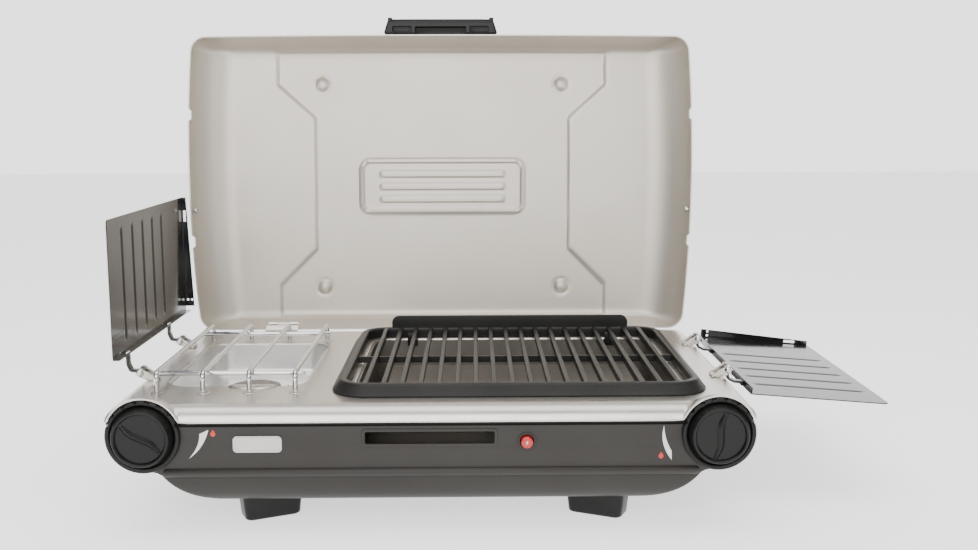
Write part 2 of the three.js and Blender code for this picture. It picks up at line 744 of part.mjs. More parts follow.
const lidY = (reach) => lidRearY - reach; // reach is measured forwards from the rear rim
const lidZ = (height) => lidRimZ + height; // height is measured up from the rim plane
const lidHalfWidth = (reach) => 302.7 + 0.1111 * reach - 0.000264 * reach * reach;

// One ring of the lid at a height above its rim, with the skin set in by `inset`.
function lidRing(height, inset) {
  const sideBend = 50;
  const sideIn = height > lidDepth - sideBend
    ? sideBend - Math.sqrt(Math.max(sideBend ** 2 - (height - lidDepth + sideBend) ** 2, 0))
    : 0;
  const cornerRise = Math.max(height - 12, 0) / (lidDepth - 12);
  const frontIn = 12 * cornerRise ** 1.6 + inset;
  const rearIn = 9 * cornerRise ** 1.3 + inset;
  const rearReach = rearIn;
  const frontReach = lidLength - frontIn;
  const chamfer = 13;
  const bow = 2;
  const half = (reach) => lidHalfWidth(reach) - Math.min(sideIn, 46) - inset;
  const right = [];
  right.push([half(rearReach) - chamfer, rearReach]);
  right.push([half(rearReach) - 0.3 * chamfer, rearReach + 0.3 * chamfer]);
  const steps = 8;
  for (let i = 0; i <= steps; i += 1) {
    const reach = rearReach + chamfer + ((frontReach - rearReach - 2 * chamfer) * i) / steps;
    right.push([half(reach), reach]);
  }
  right.push([half(frontReach) - 0.3 * chamfer, frontReach - 0.3 * chamfer]);
  right.push([half(frontReach) - chamfer, frontReach]);
  right.push([150, frontReach + 0.7 * bow]);
  const left = right.map(([x, reach]) => [-x, reach]).reverse();
  const middle = [[0, frontReach + bow]];
  const around = [...right, ...middle, ...left].reverse();
  return around.map(([x, reach]) => [x, lidY(reach), lidZ(height)]);
}

function lidSolid(inset, low, high) {
  const heights = [low, 5, 10, 16, 24, 32, 40, 46, 50, 53];
  const bulk = heights.filter((height) => height < high - 1);
  return loft([...bulk, high].map((height) => lidRing(height, inset)));
}

// The panel's stepped outline: full width at both ends and drawn in across the middle.
function lidPanelShape(grow) {
  const wide = 211 + grow;
  const narrow = 164 + grow;
  const half = [[wide, 8 - grow], [wide, 52], [narrow, 99], [narrow, 268], [wide, 310], [wide, 354 + grow]];
  const mirrored = half.map(([x, reach]) => [-x, reach]).reverse();
  return outline([...half, ...mirrored].map(([x, reach]) => [x, lidY(reach)]));
}

{
  const outer = lidSolid(0, 0, lidDepth);
  const inner = lidSolid(sheet, -2, lidDepth - sheet);
  const raise = 1.4;
  const inPlan = (reach, shape) => prism(shape, "z", lidZ(lidDepth - sheet - 0.5), lidZ(lidDepth) + reach);
  const trim = prism(roundedRect(-260, lidY(350), 260, lidY(14), 20), "z", 0, 300);
  const raised = inPlan(raise, lidPanelShape(0)).intersect(trim);
  const hollow = prism(lidPanelShape(-sheet), "z", lidZ(lidDepth - sheet - 3), lidZ(lidDepth - sheet) + raise);
  const notches = [];
  for (const side of sides) {
    for (const y of screenArmY) {
      const a = side * 290;
      const b = side * 330;
      notches.push(block(Math.min(a, b), Math.max(a, b), y - 7.5, y + 7.5, lidRimZ - 5, deckZ + 14.5));
    }
  }
  const shell = outer.add(raised).subtract(inner).subtract(hollow.intersect(trim));
  piece("lid_shell", cut(shell, notches), finish.champagne, lidBody);
}

// Handle on the front wall, with a latch bar hung between its ears.
const latchAxisY = lidY(387);
const latchAxisZ = lidZ(20);
{
  const grip = prism(
    outline([[-69, lidY(368.5)], [-70.5, lidY(371)], [-66, lidY(handleReach)], [66, lidY(handleReach)],
      [70.5, lidY(371)], [69, lidY(368.5)]]),
    "z",
    lidZ(9),
    lidZ(26),
  );
  const ears = sides.map((side) => {
    const [a, b] = [side * 60.5, side * 66];
    return block(Math.min(a, b), Math.max(a, b), lidY(latchReach + 1.5), lidY(handleReach - 1), lidZ(15), lidZ(25));
  });
  const bore = rod("x", [latchAxisY, latchAxisZ], -63.5, 63.5, 1.9, 1.9, 16);
  piece("lid_handle", unite([grip, ...ears]).subtract(bore), finish.blackPlastic, lidBody);

  const tongueLow = -33.5;
  const bar = block(-59.5, 59.5, lidY(latchReach), lidY(handleReach + 0.9), lidZ(tongueLow), latchAxisZ + 1);
  const tongue = block(-55, 55, lidY(latchReach), lidY(376), lidZ(tongueLow), lidZ(tongueLow + 3));
  const trunnions = rod("x", [latchAxisY, latchAxisZ], -62.8, 62.8, 1.4, 1.4, 16);
  const holder = new THREE.Group();
  holder.position.set(0, latchAxisY, latchAxisZ);
  holder.rotation.x = -latchThrown;
  lidBody.add(holder);
  const hung = unite([bar, tongue, trunnions]).translate([0, -latchAxisY, -latchAxisZ]);
  piece("latch_bar", hung, finish.blackPlastic, holder);
}

// Round-headed pins that the screens hook on, one near the rim of each side wall.
for (const side of sides) {
  const reach = 150;
  const wall = lidHalfWidth(reach);
  const [near, far] = [side * (wall - sheet - 1), side * (wall - sheet - 6)];
  const head = rod("x", [lidY(reach), lidZ(9)], Math.min(near, far), Math.max(near, far), 4.5, 4.5, 16);
  piece(`hook_pin_${sideName(side)}`, head, finish.chrome, lidBody);
}

// Lid hinges: a strap on the deck, a leaf inside the lid's rear wall and a pin through both.
for (const side of sides) {
  const name = sideName(side);
  const x = side * 200;
  const strapShape = outline([
    [163, deckZ + gap], [181, deckZ + gap], [186, deckZ + 4.4], [195, deckZ + 4.4], [195, deckZ + 7.4],
    [184.6, deckZ + 7.4], [179.5, deckZ + 2.6], [163, deckZ + 2.6],
  ]);
  const boreAll = rod("x", [lidPivotY, lidPivotZ], x - 30, x + 30, 1.9, 1.9, 16);
  const strap = prism(strapShape, "x", x - 20, x + 20);
  const barrel = rod("x", [lidPivotY, lidPivotZ], x - 7, x + 7, 3.2, 3.2, 16);
  const room = sides.map((end) => {
    const [a, b] = [x + end * 7, x + end * 24];
    return block(Math.min(a, b), Math.max(a, b), 189, 205, deckZ, deckZ + 20);
  });
  piece(`hinge_strap_${name}`, cut(strap.add(barrel), [...room, boreAll]), finish.darkSteel);

  const plate = block(x - 18, x + 18, lidRearY - sheet - gap - 1.8, lidRearY - sheet - gap, lidZ(2.5), lidZ(13));
  const web = block(x - 18, x + 18, lidPivotY, lidRearY - sheet - gap - 1, lidPivotZ - 1.5, lidPivotZ + 1.5);
  const leafBarrels = rod("x", [lidPivotY, lidPivotZ], x - 18, x + 18, 3.2, 3.2, 16);
  const middle = block(x - 7.4, x + 7.4, 190, 200.6, deckZ - 5, deckZ + 20);
  const leaf = cut(unite([plate, web, leafBarrels]), [middle, boreAll]);
  piece(`hinge_leaf_${name}`, leaf, finish.darkSteel, lidBody);

  piece(`hinge_pin_${name}`, rod("x", [lidPivotY, lidPivotZ], x - 19, x + 19, 1.5, 1.5, 12), finish.chrome);
}

export default grill;
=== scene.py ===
"""Folding camp grill: the visible model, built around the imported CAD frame.

Lengths are in millimetres in this file and become metres when a mesh is made.
X is to the cook's right, Y to the back, Z up; the frame's boxes give the places.
"""
import json
import math

import bmesh
import bpy
import numpy as np
from mathutils import Matrix, Vector


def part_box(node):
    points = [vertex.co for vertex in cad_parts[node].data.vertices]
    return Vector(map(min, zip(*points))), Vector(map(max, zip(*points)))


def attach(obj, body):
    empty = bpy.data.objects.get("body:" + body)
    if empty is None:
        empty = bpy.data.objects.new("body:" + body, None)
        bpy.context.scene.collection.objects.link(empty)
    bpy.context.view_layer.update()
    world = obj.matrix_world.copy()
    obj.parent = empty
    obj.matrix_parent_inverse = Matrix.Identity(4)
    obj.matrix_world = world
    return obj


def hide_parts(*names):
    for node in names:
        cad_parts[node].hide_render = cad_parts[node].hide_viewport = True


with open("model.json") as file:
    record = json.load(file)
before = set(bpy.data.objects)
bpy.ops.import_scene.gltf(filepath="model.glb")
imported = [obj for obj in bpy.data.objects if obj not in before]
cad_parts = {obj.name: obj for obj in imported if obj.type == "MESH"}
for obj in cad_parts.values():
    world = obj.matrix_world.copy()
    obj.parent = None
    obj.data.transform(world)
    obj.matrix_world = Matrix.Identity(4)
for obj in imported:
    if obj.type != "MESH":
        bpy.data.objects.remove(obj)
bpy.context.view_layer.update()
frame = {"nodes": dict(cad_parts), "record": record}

MM = 0.001
SIDES = (("left", -1), ("right", 1))


def box_mm(node):
    low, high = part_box(node)
    return np.array(low) / MM, np.array(high) / MM


# ------------------------------------------------------------------ driving dimensions
SHEET = 1.6
DECK_LOW, DECK_HIGH = box_mm("top_deck")
DECK_Z = box_mm("grill_grate")[1][2] - 26.0
SKIRT_Z = DECK_LOW[2] + 3.3
KNOB_X = 271.0
KNOB_Z = 70.0
FASCIA_LOW, FASCIA_HIGH = box_mm("front_fascia")
POD_RADIUS = FASCIA_HIGH[2] - KNOB_Z
FACE_Y = box_mm("name_plate")[1][1] + 0.3
WELL_LOW, WELL_HIGH = box_mm("stove_well")
WELL_FLANGE = 6.0
WELL_HOLE = (WELL_LOW[0] + WELL_FLANGE, WELL_LOW[1] + WELL_FLANGE,
             WELL_HIGH[0] - WELL_FLANGE, WELL_HIGH[1] - WELL_FLANGE)
BASIN_LOW, BASIN_HIGH = box_mm("grill_basin")
BASIN_FLANGE = 5.0
BASIN_HOLE = (BASIN_LOW[0] + BASIN_FLANGE, BASIN_LOW[1] + BASIN_FLANGE,
              BASIN_HIGH[0] - BASIN_FLANGE, BASIN_HIGH[1] - BASIN_FLANGE)
LID_PIVOT = (196.5, 105.5)
LID_OPEN = math.radians(94)
LID_REAR_Y = 203.5
LID_RIM_Z = DECK_Z + 1
LID_LENGTH = 365.0
LID_DEPTH = 55.0
SCREEN_PIVOT = (303.0, 106.5)
SCREEN_ARMS = (-66.0, 92.0)
LATCH_AXIS = (LID_REAR_Y - 387, LID_RIM_Z + 20)
LATCH_THROWN = math.radians(182)
LATCH_FRONT = LID_REAR_Y - 388.4
LATCH_RIB_DEPTH = 4.2  # stops short of the fascia's slot frame when the latch is shut
NOTCH_HALF_WIDTH = 7.5
NOTCH_RISE = 0.155  # share of the side wall that a notch takes away
IGNITER_X, IGNITER_Z = 89.6, 63
FLOOR_Z = box_mm("foot_front_left")[0][2]


# ------------------------------------------------------------------ mesh helpers
def smoothstep(value):
    t = np.clip(value, 0.0, 1.0)
    return t * t * (3 - 2 * t)


def smooth_max(a, b, width):
    spread = np.maximum(width - np.abs(a - b), 0.0) / width
    return np.maximum(a, b) + spread * spread * width * 0.25


def mesh_object(name, points, faces, sharp_angle=32.0):
    """A mesh object from points in millimetres, smooth except across sharp edges."""
    mesh = bpy.data.meshes.new(name)
    mesh.from_pydata([tuple(float(c) * MM for c in p) for p in points], [], faces)
    mesh.validate()
    obj = bpy.data.objects.new(name, mesh)
    bpy.context.scene.collection.objects.link(obj)
    clean(obj, sharp_angle)
    return obj


def clean(obj, sharp_angle=32.0):
    """Merges doubled points, makes the faces point outwards and sets the shading."""
    bm = bmesh.new()
    bm.from_mesh(obj.data)
    bmesh.ops.remove_doubles(bm, verts=bm.verts, dist=2e-6)
    bmesh.ops.dissolve_degenerate(bm, edges=bm.edges, dist=2e-6)
    bmesh.ops.recalc_face_normals(bm, faces=bm.faces)
    for face in bm.faces:
        face.smooth = True
    bm.to_mesh(obj.data)
    bm.free()
    obj.data.set_sharp_from_angle(angle=math.radians(sharp_angle))


def apply_modifiers(obj, sharp_angle=32.0):
    depsgraph = bpy.context.evaluated_depsgraph_get()
    mesh = bpy.data.meshes.new_from_object(obj.evaluated_get(depsgraph))
    obj.modifiers.clear()
    old = obj.data
    obj.data = mesh
    bpy.data.meshes.remove(old)
    clean(obj, sharp_angle)
    return obj


def thicken(obj, thickness, towards=-1.0):
    """Gives an open sheet its thickness: -1 goes against its normals, 1 along them."""
    modifier = obj.modifiers.new("thickness", "SOLIDIFY")
    modifier.thickness = thickness * MM
    modifier.offset = towards
    return apply_modifiers(obj)


def bevel(obj, width, segments=2, angle=40.0):
    modifier = obj.modifiers.new("bevel", "BEVEL")
    modifier.width = width * MM
    modifier.segments = segments
    modifier.limit_method = "ANGLE"
    modifier.angle_limit = math.radians(angle)
    modifier.use_clamp_overlap = True
    return apply_modifiers(obj)


def carve(obj, cutters):
    for cutter in cutters:
        modifier = obj.modifiers.new("carve", "BOOLEAN")
        modifier.operation = "DIFFERENCE"
        modifier.solver = "EXACT"
        modifier.object = cutter
        apply_modifiers(obj)
        bpy.data.objects.remove(cutter)
    return obj


def join(name, parts):
    """One object from several, each keeping its own shading."""
    bm = bmesh.new()
    for part in parts:
        bm.from_mesh(part.data)
    mesh = bpy.data.meshes.new(name)
    bm.to_mesh(mesh)
    bm.free()
    for part in parts:
        bpy.data.objects.remove(part)
    obj = bpy.data.objects.new(name, mesh)
    bpy.context.scene.collection.objects.link(obj)
    return obj


def strip_faces(rows, columns, closed=False):
    faces = []
    last = columns if closed else columns - 1
    for r in range(rows - 1):
        for c in range(last):
            d = (c + 1) % columns
            faces.append((r * columns + c, r * columns + d, (r + 1) * columns + d, (r + 1) * columns + c))
    return faces


def ring_skin(name, rings, cap_start=True, cap_end=True, sharp_angle=32.0):
    """A skin through closed rings of equal length, with flat ends where they are wanted."""
    columns = len(rings[0])
    points = [p for ring in rings for p in ring]
    faces = strip_faces(len(rings), columns, closed=True)
    if cap_start:
        faces.append(tuple(range(columns)))
    if cap_end:
        faces.append(tuple(range(len(points) - columns, len(points))))
    return mesh_object(name, points, faces, sharp_angle)


def frame_of(axis):
    """The two directions across an axis, so that first x second = axis."""
    return {
        "x": (Vector((0, 1, 0)), Vector((0, 0, 1)), Vector((1, 0, 0))),
        "y": (Vector((0, 0, 1)), Vector((1, 0, 0)), Vector((0, 1, 0))),
        "-y": (Vector((1, 0, 0)), Vector((0, 0, 1)), Vector((0, -1, 0))),
        "z": (Vector((1, 0, 0)), Vector((0, 1, 0)), Vector((0, 0, 1))),
    }[axis]


def turned(name, profile, centre, axis="z", segments=64, modulate=None, sharp_angle=32.0):
    """A body of revolution from (radius, along) points that start and end on the axis."""
    first, second, along = frame_of(axis)
    middle = Vector(centre)
    rings = []
    for index, (radius, height) in enumerate(profile):
        ring = []
        for k in range(segments):
            turn = 2 * math.pi * k / segments
            r = max(radius, 1e-3)
            if modulate:
                r = modulate(index, r, turn)
            across = first * (r * math.cos(turn)) + second * (r * math.sin(turn))
            ring.append(middle + across + along * height)
        rings.append(ring)
    return ring_skin(name, rings, True, True, sharp_angle)


def polar_face(name, centre, axis, radius, height, rings=26, segments=96, back=0.0):
    """A round body whose front is height(u, v) over a disc, u and v across the axis, closed at the back."""
    first, second, along = frame_of(axis)
    middle = Vector(centre)
    skin = []
    for i in range(rings + 1):
        r = radius * max(i / rings, 1e-3)
        ring = []
        for k in range(segments):
            turn = 2 * math.pi * k / segments
            u, v = r * math.cos(turn), r * math.sin(turn)
            ring.append(middle + first * u + second * v + along * height(u, v))
        skin.append(ring)
    skin.append([middle + first * (radius * math.cos(2 * math.pi * k / segments))
                 + second * (radius * math.sin(2 * math.pi * k / segments)) + along * back
                 for k in range(segments)])
    return ring_skin(name, skin, True, True, 40.0)


def arc(cx, cy, radius, start, end, steps):
    return [(cx + radius * math.cos(math.radians(start + (end - start) * k / steps)),
             cy + radius * math.sin(math.radians(start + (end - start) * k / steps)))
            for k in range(steps + 1)]


def rounded_rect(left, low, right, high, radius, steps=8):
    return (arc(right - radius, low + radius, radius, -90, 0, steps)
            + arc(right - radius, high - radius, radius, 0, 90, steps)
            + arc(left + radius, high - radius, radius, 90, 180, steps)
            + arc(left + radius, low + radius, radius, 180, 270, steps))


def disc(cx, cy, radius, steps=40):
    return arc(cx, cy, radius, 0, 360, steps)[:-1]


def plate(name, loops, axis, start, end, edge=0.4, edge_steps=2):
    """A flat plate with holes and rounded edges. Loops are (x, z) along y, (y, z) along x, (x, y) along z."""
    curve = bpy.data.curves.new(name, "CURVE")
    curve.dimensions = "2D"
    curve.fill_mode = "BOTH"
    thickness = end - start
    edge = min(edge, thickness * 0.49)
    curve.extrude = (thickness / 2 - edge) * MM
    curve.bevel_depth = edge * MM
    curve.bevel_resolution = edge_steps
    curve.offset = -edge * MM
    for loop in loops:
        spline = curve.splines.new("POLY")
        spline.points.add(len(loop) - 1)
        for point, (a, b) in zip(spline.points, loop):
            point.co = (a * MM, b * MM, 0, 1)
        spline.use_cyclic_u = True
    holder = bpy.data.objects.new(name + "_curve", curve)
    bpy.context.scene.collection.objects.link(holder)
    depsgraph = bpy.context.evaluated_depsgraph_get()
    mesh = bpy.data.meshes.new_from_object(holder.evaluated_get(depsgraph))
    bpy.data.objects.remove(holder)
    middle = (start + end) / 2 * MM
    place = {
        "x": Matrix(((0, 0, 1, middle), (1, 0, 0, 0), (0, 1, 0, 0), (0, 0, 0, 1))),
        "y": Matrix(((1, 0, 0, 0), (0, 0, -1, middle), (0, 1, 0, 0), (0, 0, 0, 1))),
        "z": Matrix(((1, 0, 0, 0), (0, 1, 0, 0), (0, 0, 1, middle), (0, 0, 0, 1))),
    }[axis]
    mesh.transform(place)
    obj = bpy.data.objects.new(name, mesh)
    bpy.context.scene.collection.objects.link(obj)
    clean(obj, 38.0)
    return obj


def block(name, low, high, edge=0.5):
    (x0, y0, z0), (x1, y1, z1) = low, high
    points = [(x, y, z) for x in (x0, x1) for y in (y0, y1) for z in (z0, z1)]
    faces = [(0, 1, 3, 2), (4, 6, 7, 5), (0, 4, 5, 1), (2, 3, 7, 6), (0, 2, 6, 4), (1, 5, 7, 3)]
    obj = mesh_object(name, points, faces)
    return bevel(obj, edge, 2) if edge else obj


def route(points, bend, steps=7):
    """Points along straight runs joined by round bends, with the heading at each."""
    corners = [Vector(p) for p in points]
    places = [corners[0]]
    for i in range(1, len(corners) - 1):
        before = (corners[i] - corners[i - 1]).normalized()
        after = (corners[i + 1] - corners[i]).normalized()
        enter = corners[i] - before * bend
        leave = corners[i] + after * bend
        for k in range(steps + 1):
            t = k / steps
            places.append(enter * (1 - t) ** 2 + corners[i] * 2 * t * (1 - t) + leave * t ** 2)
    places.append(corners[-1])
    return places


def tube(name, points, bend, radius, sides=16, round_ends=True):
    """A round rod along a bent route, with softly rounded ends."""
    places = route(points, bend) if bend else [Vector(p) for p in points]
    if round_ends:
        edge = radius * 0.45
        places.insert(1, places[0] + (places[1] - places[0]).normalized() * edge)
        places.insert(-1, places[-1] + (places[-2] - places[-1]).normalized() * edge)
    headings = []
    for i in range(len(places)):
        a = places[max(i - 1, 0)]
        b = places[min(i + 1, len(places) - 1)]
        headings.append((b - a).normalized())
    normal = Vector((1, 0, 0)) if abs(headings[0].x) < 0.8 else Vector((0, 0, 1))
    rings = []
    for i, (place, heading) in enumerate(zip(places, headings)):
        normal = (normal - heading * normal.dot(heading)).normalized()
        across = heading.cross(normal)
        r = radius * 0.72 if round_ends and i in (0, len(places) - 1) else radius
        rings.append([place + (normal * math.cos(2 * math.pi * k / sides)
                               + across * math.sin(2 * math.pi * k / sides)) * r for k in range(sides)])
    return ring_skin(name, rings, sharp_angle=50.0)


def transform(obj, function):
    """Moves every point of a mesh by a function of (x, y, z) in millimetres."""
    for vertex in obj.data.vertices:
        vertex.co = Vector(function(*(vertex.co / MM))) * MM
    obj.data.update()
    return obj


# ------------------------------------------------------------------ dished sheets
def edge_points(f, length, radius):
    """Where a fraction f lies along one edge of a rounded rectangle, from corner middle to corner middle.

    Gives the place along the edge, how far it is set in by the corner, and 0 on the straight part
    rising to 1 at the corner's middle."""
    half_arc = math.pi * radius / 4
    straight = length - 2 * radius
    s = f * (straight + 2 * half_arc)
    along = np.where(s < half_arc, 0.0, np.where(s > half_arc + straight, length, s - half_arc + radius))
    turn_in = np.where(s < half_arc, (half_arc - s) / radius, (s - half_arc - straight) / radius)
    turn_in = np.clip(turn_in, 0.0, math.pi / 4)
    near = s < half_arc
    far = s > half_arc + straight
    along = np.where(near, radius - radius * np.sin(turn_in), along)
    along = np.where(far, length - radius + radius * np.sin(turn_in), along)
    set_in = radius * (1 - np.cos(turn_in))
    corner = turn_in / (math.pi / 4)
    return along, set_in, corner


def ring_points(low_x, low_y, high_x, high_y, radii, fx, fy):
    """A rounded rectangle's points, front edge first, then right, rear and left.

    radii are (front, rear). Returns x, y, and how much each point belongs to a side edge (0 to 1)."""
    front_radius, rear_radius = radii
    width, depth = high_x - low_x, high_y - low_y
    xs, ys, side = [], [], []
    along, set_in, corner = edge_points(fx, width, front_radius)
    xs.append(low_x + along)
    ys.append(low_y + set_in)
    side.append(0.5 * corner)
    along, set_in, corner = edge_points(fy, depth, (front_radius + rear_radius) / 2)
    radius_here = front_radius * (1 - fy) + rear_radius * fy
    scale = radius_here / ((front_radius + rear_radius) / 2)
    xs.append(high_x - set_in * scale)
    ys.append(low_y + along)
    side.append(1 - 0.5 * corner)
    along, set_in, corner = edge_points(fx, width, rear_radius)
    xs.append(high_x - along)
    ys.append(high_y - set_in)
    side.append(0.5 * corner)
    back = 1 - fy
    along, set_in, corner = edge_points(back, depth, (front_radius + rear_radius) / 2)
    radius_here = front_radius * (1 - back) + rear_radius * back
    scale = radius_here / ((front_radius + rear_radius) / 2)
    xs.append(low_x + set_in * scale)
    ys.append(low_y + along)
    side.append(1 - 0.5 * corner)
    keep = slice(0, -1)
    return (np.concatenate([v[keep] for v in xs]),
            np.concatenate([v[keep] for v in ys]),
            np.concatenate([v[keep] for v in side]))


def dished_sheet(name, fx, fy, rings):
    """A sheet with a flat middle and walls. rings are (x, y, z) arrays; the first bounds the middle."""
    nx, ny = len(fx) - 1, len(fy) - 1
    count = 2 * (nx + ny)
    ring_list = [np.stack(ring, axis=1) for ring in rings]
    border = ring_list[0]
    front = border[0:nx + 1]
    right = border[nx:nx + ny + 1]
    rear = border[nx + ny:2 * nx + ny + 1][::-1]
    left = np.vstack([border[2 * nx + ny:], border[0:1]])[::-1]
    u = fx[:, None, None]
    v = fy[None, :, None]
    patch = ((1 - v) * front[:, None] + v * rear[:, None] + (1 - u) * left[None] + u * right[None]
             - (1 - u) * (1 - v) * front[0] - u * (1 - v) * front[-1]
             - (1 - u) * v * rear[0] - u * v * rear[-1])
    index = np.arange((nx + 1) * (ny + 1)).reshape(nx + 1, ny + 1)
    points = [tuple(p) for p in patch.reshape(-1, 3)]
    faces = []
    for i in range(nx):
        for j in range(ny):
            faces.append((int(index[i, j]), int(index[i + 1, j]), int(index[i + 1, j + 1]),
                          int(index[i, j + 1])))
    loop = ([int(index[i, 0]) for i in range(nx)] + [int(index[nx, j]) for j in range(ny)]
            + [int(index[i, ny]) for i in range(nx, 0, -1)] + [int(index[0, j]) for j in range(ny, 0, -1)])
    previous = loop
    for ring in ring_list[1:]:
        start = len(points)
        points.extend(tuple(p) for p in ring)
        current = list(range(start, start + count))
        for k in range(count):
            n = (k + 1) % count
            faces.append((previous[k], current[k], current[n], previous[n]))
        previous = current
    return points, faces


# ------------------------------------------------------------------ materials
def node_material(name):
    material = bpy.data.materials.new(name)
    material.use_nodes = True
    nodes = material.node_tree.nodes
    nodes.clear()
    output = nodes.new("ShaderNodeOutputMaterial")
    shader = nodes.new("ShaderNodeBsdfPrincipled")
    material.node_tree.links.new(shader.outputs["BSDF"], output.inputs["Surface"])
    return material, nodes, material.node_tree.links, shader


def surface(name, dark, light, metallic=0.0, roughness=(0.3, 0.4), grain=400.0, stretch=(1, 1, 1),
            bump=0.05, coat=0.0, coat_roughness=0.1, specular=0.5, patch=14.0, bump_distance=0.0002):
    """A finish with soft colour patches, varied roughness and fine grain, all from noise in object space."""
    material, nodes, links, shader = node_material(name)
    place = nodes.new("ShaderNodeTexCoord")
    mapping = nodes.new("ShaderNodeMapping")
    mapping.inputs["Scale"].default_value = stretch
    links.new(place.outputs["Object"], mapping.inputs["Vector"])
    broad = nodes.new("ShaderNodeTexNoise")
    broad.inputs["Scale"].default_value = patch
    broad.inputs["Detail"].default_value = 5.0
    links.new(place.outputs["Object"], broad.inputs["Vector"])
    fine = nodes.new("ShaderNodeTexNoise")
    fine.inputs["Scale"].default_value = grain
    fine.inputs["Detail"].default_value = 3.0
    links.new(mapping.outputs["Vector"], fine.inputs["Vector"])
    colours = nodes.new("ShaderNodeValToRGB")
    colours.color_ramp.elements[0].position = 0.3
    colours.color_ramp.elements[0].color = (*dark, 1)
    colours.color_ramp.elements[1].position = 0.7
    colours.color_ramp.elements[1].color = (*light, 1)
    links.new(broad.outputs["Fac"], colours.inputs["Fac"])
    links.new(colours.outputs["Color"], shader.inputs["Base Color"])
    rough = nodes.new("ShaderNodeMapRange")
    rough.inputs["From Min"].default_value = 0.3
    rough.inputs["From Max"].default_value = 0.7
    rough.inputs["To Min"].default_value = roughness[0]
    rough.inputs["To Max"].default_value = roughness[1]
    links.new(fine.outputs["Fac"], rough.inputs["Value"])
    links.new(rough.outputs["Result"], shader.inputs["Roughness"])
    relief = nodes.new("ShaderNodeBump")
    relief.inputs["Strength"].default_value = bump
    relief.inputs["Distance"].default_value = bump_distance
    links.new(fine.outputs["Fac"], relief.inputs["Height"])
    links.new(relief.outputs["Normal"], shader.inputs["Normal"])
    shader.inputs["Metallic"].default_value = metallic
    shader.inputs["Specular IOR Level"].default_value = specular
    shader.inputs["Coat Weight"].default_value = coat
    shader.inputs["Coat Roughness"].default_value = coat_roughness
    return material


FINISH = {
    "lid_paint": surface("champagne_paint", (0.61, 0.565, 0.50), (0.64, 0.595, 0.53), metallic=0.80,
                         roughness=(0.42, 0.50), grain=900, bump=0.10),
    "deck_steel": surface("satin_deck", (0.60, 0.565, 0.52), (0.64, 0.605, 0.56), metallic=0.9,
                          roughness=(0.26, 0.34), grain=500, stretch=(0.08, 1, 1), bump=0.04),
    "base_paint": surface("dark_base_paint", (0.024, 0.021, 0.019), (0.030, 0.027, 0.024),
                          roughness=(0.40, 0.50), grain=1400, bump=0.12, specular=0.3),
    "black_enamel": surface("gloss_enamel", (0.008, 0.008, 0.009), (0.013, 0.012, 0.012),
                            roughness=(0.12, 0.18), grain=90, bump=0.02, coat=0.15, coat_roughness=0.05,
                            specular=0.4),
    "black_plastic": surface("satin_black_plastic", (0.005, 0.0048, 0.0045), (0.008, 0.0075, 0.007),
                             roughness=(0.30, 0.38), grain=1600, bump=0.12, specular=0.25),
    "cast_grate": surface("porcelain_grate", (0.012, 0.0115, 0.011), (0.020, 0.019, 0.0175),
                          roughness=(0.34, 0.48), grain=700, bump=0.3, specular=0.3),
    "chrome_wire": surface("chrome", (0.70, 0.70, 0.70), (0.76, 0.76, 0.76), metallic=1.0,
                           roughness=(0.06, 0.12), grain=300, bump=0.02),
    "well_aluminium": surface("bright_aluminium", (0.76, 0.75, 0.73), (0.82, 0.81, 0.79), metallic=0.9,
                              roughness=(0.28, 0.40), grain=220, bump=0.05),
    "inner_steel": surface("heat_tinted_steel", (0.17, 0.152, 0.132), (0.24, 0.218, 0.19), metallic=0.35,
                           roughness=(0.40, 0.55), grain=240, bump=0.15, patch=9),
    "gas_brass": surface("brass", (0.52, 0.37, 0.13), (0.60, 0.44, 0.17), metallic=1.0,
                         roughness=(0.22, 0.34), grain=500, bump=0.05),
    "button_red": surface("red_plastic", (0.42, 0.008, 0.010), (0.50, 0.012, 0.012),
                          roughness=(0.18, 0.26), grain=600, bump=0.05, coat=0.3),
    "plate_steel": surface("badge_steel", (0.50, 0.49, 0.47), (0.58, 0.57, 0.55), metallic=0.9,
                           roughness=(0.24, 0.34), grain=700, stretch=(0.06, 1, 1), bump=0.08),
    "ceramic_white": surface("glazed_ceramic", (0.70, 0.66, 0.58), (0.78, 0.75, 0.68),
                             roughness=(0.15, 0.25), grain=500, bump=0.05),
}
MARK_WHITE = surface("white_ink", (0.70, 0.70, 0.68), (0.78, 0.78, 0.76), roughness=(0.4, 0.5), grain=900)
MARK_RED = surface("red_ink", (0.55, 0.03, 0.02), (0.62, 0.05, 0.03), roughness=(0.4, 0.5), grain=900)


def settle(obj, body, slot, replaced=(), material=None):
    """Gives a finished piece its finish and its body, and hides the CAD nodes that it stands for."""
    obj.data.materials.clear()
    obj.data.materials.append(material or FINISH[slot])
    for polygon in obj.data.polygons:
        polygon.material_index = 0
    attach(obj, body)
    if replaced:
        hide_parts(*replaced)
    return obj


# ------------------------------------------------------------------ lid
def lid_place(x, reach, height):
    """From the closed lid's own measures to where it stands open."""
    dy = LID_REAR_Y - reach - LID_PIVOT[0]
    dz = LID_RIM_Z + height - LID_PIVOT[1]
    y = LID_PIVOT[0] + dy * math.cos(LID_OPEN) + dz * math.sin(LID_OPEN)
    z = LID_PIVOT[1] - dy * math.sin(LID_OPEN) + dz * math.cos(LID_OPEN)
    return x, y, z


def to_lid(obj):
    """Takes a piece drawn closed, over the deck, to the open lid."""
    return transform(obj, lambda x, y, z: lid_place(x, LID_REAR_Y - y, z - LID_RIM_Z))


def throw_latch(obj):
    """Takes the latch, drawn shut, to where it lies back over the handle."""
    def place(x, y, z):
        dy, dz = y - LATCH_AXIS[0], z - LATCH_AXIS[1]
        c, s = math.cos(-LATCH_THROWN), math.sin(-LATCH_THROWN)
        return x, LATCH_AXIS[0] + dy * c - dz * s, LATCH_AXIS[1] + dy * s + dz * c

    return transform(obj, place)


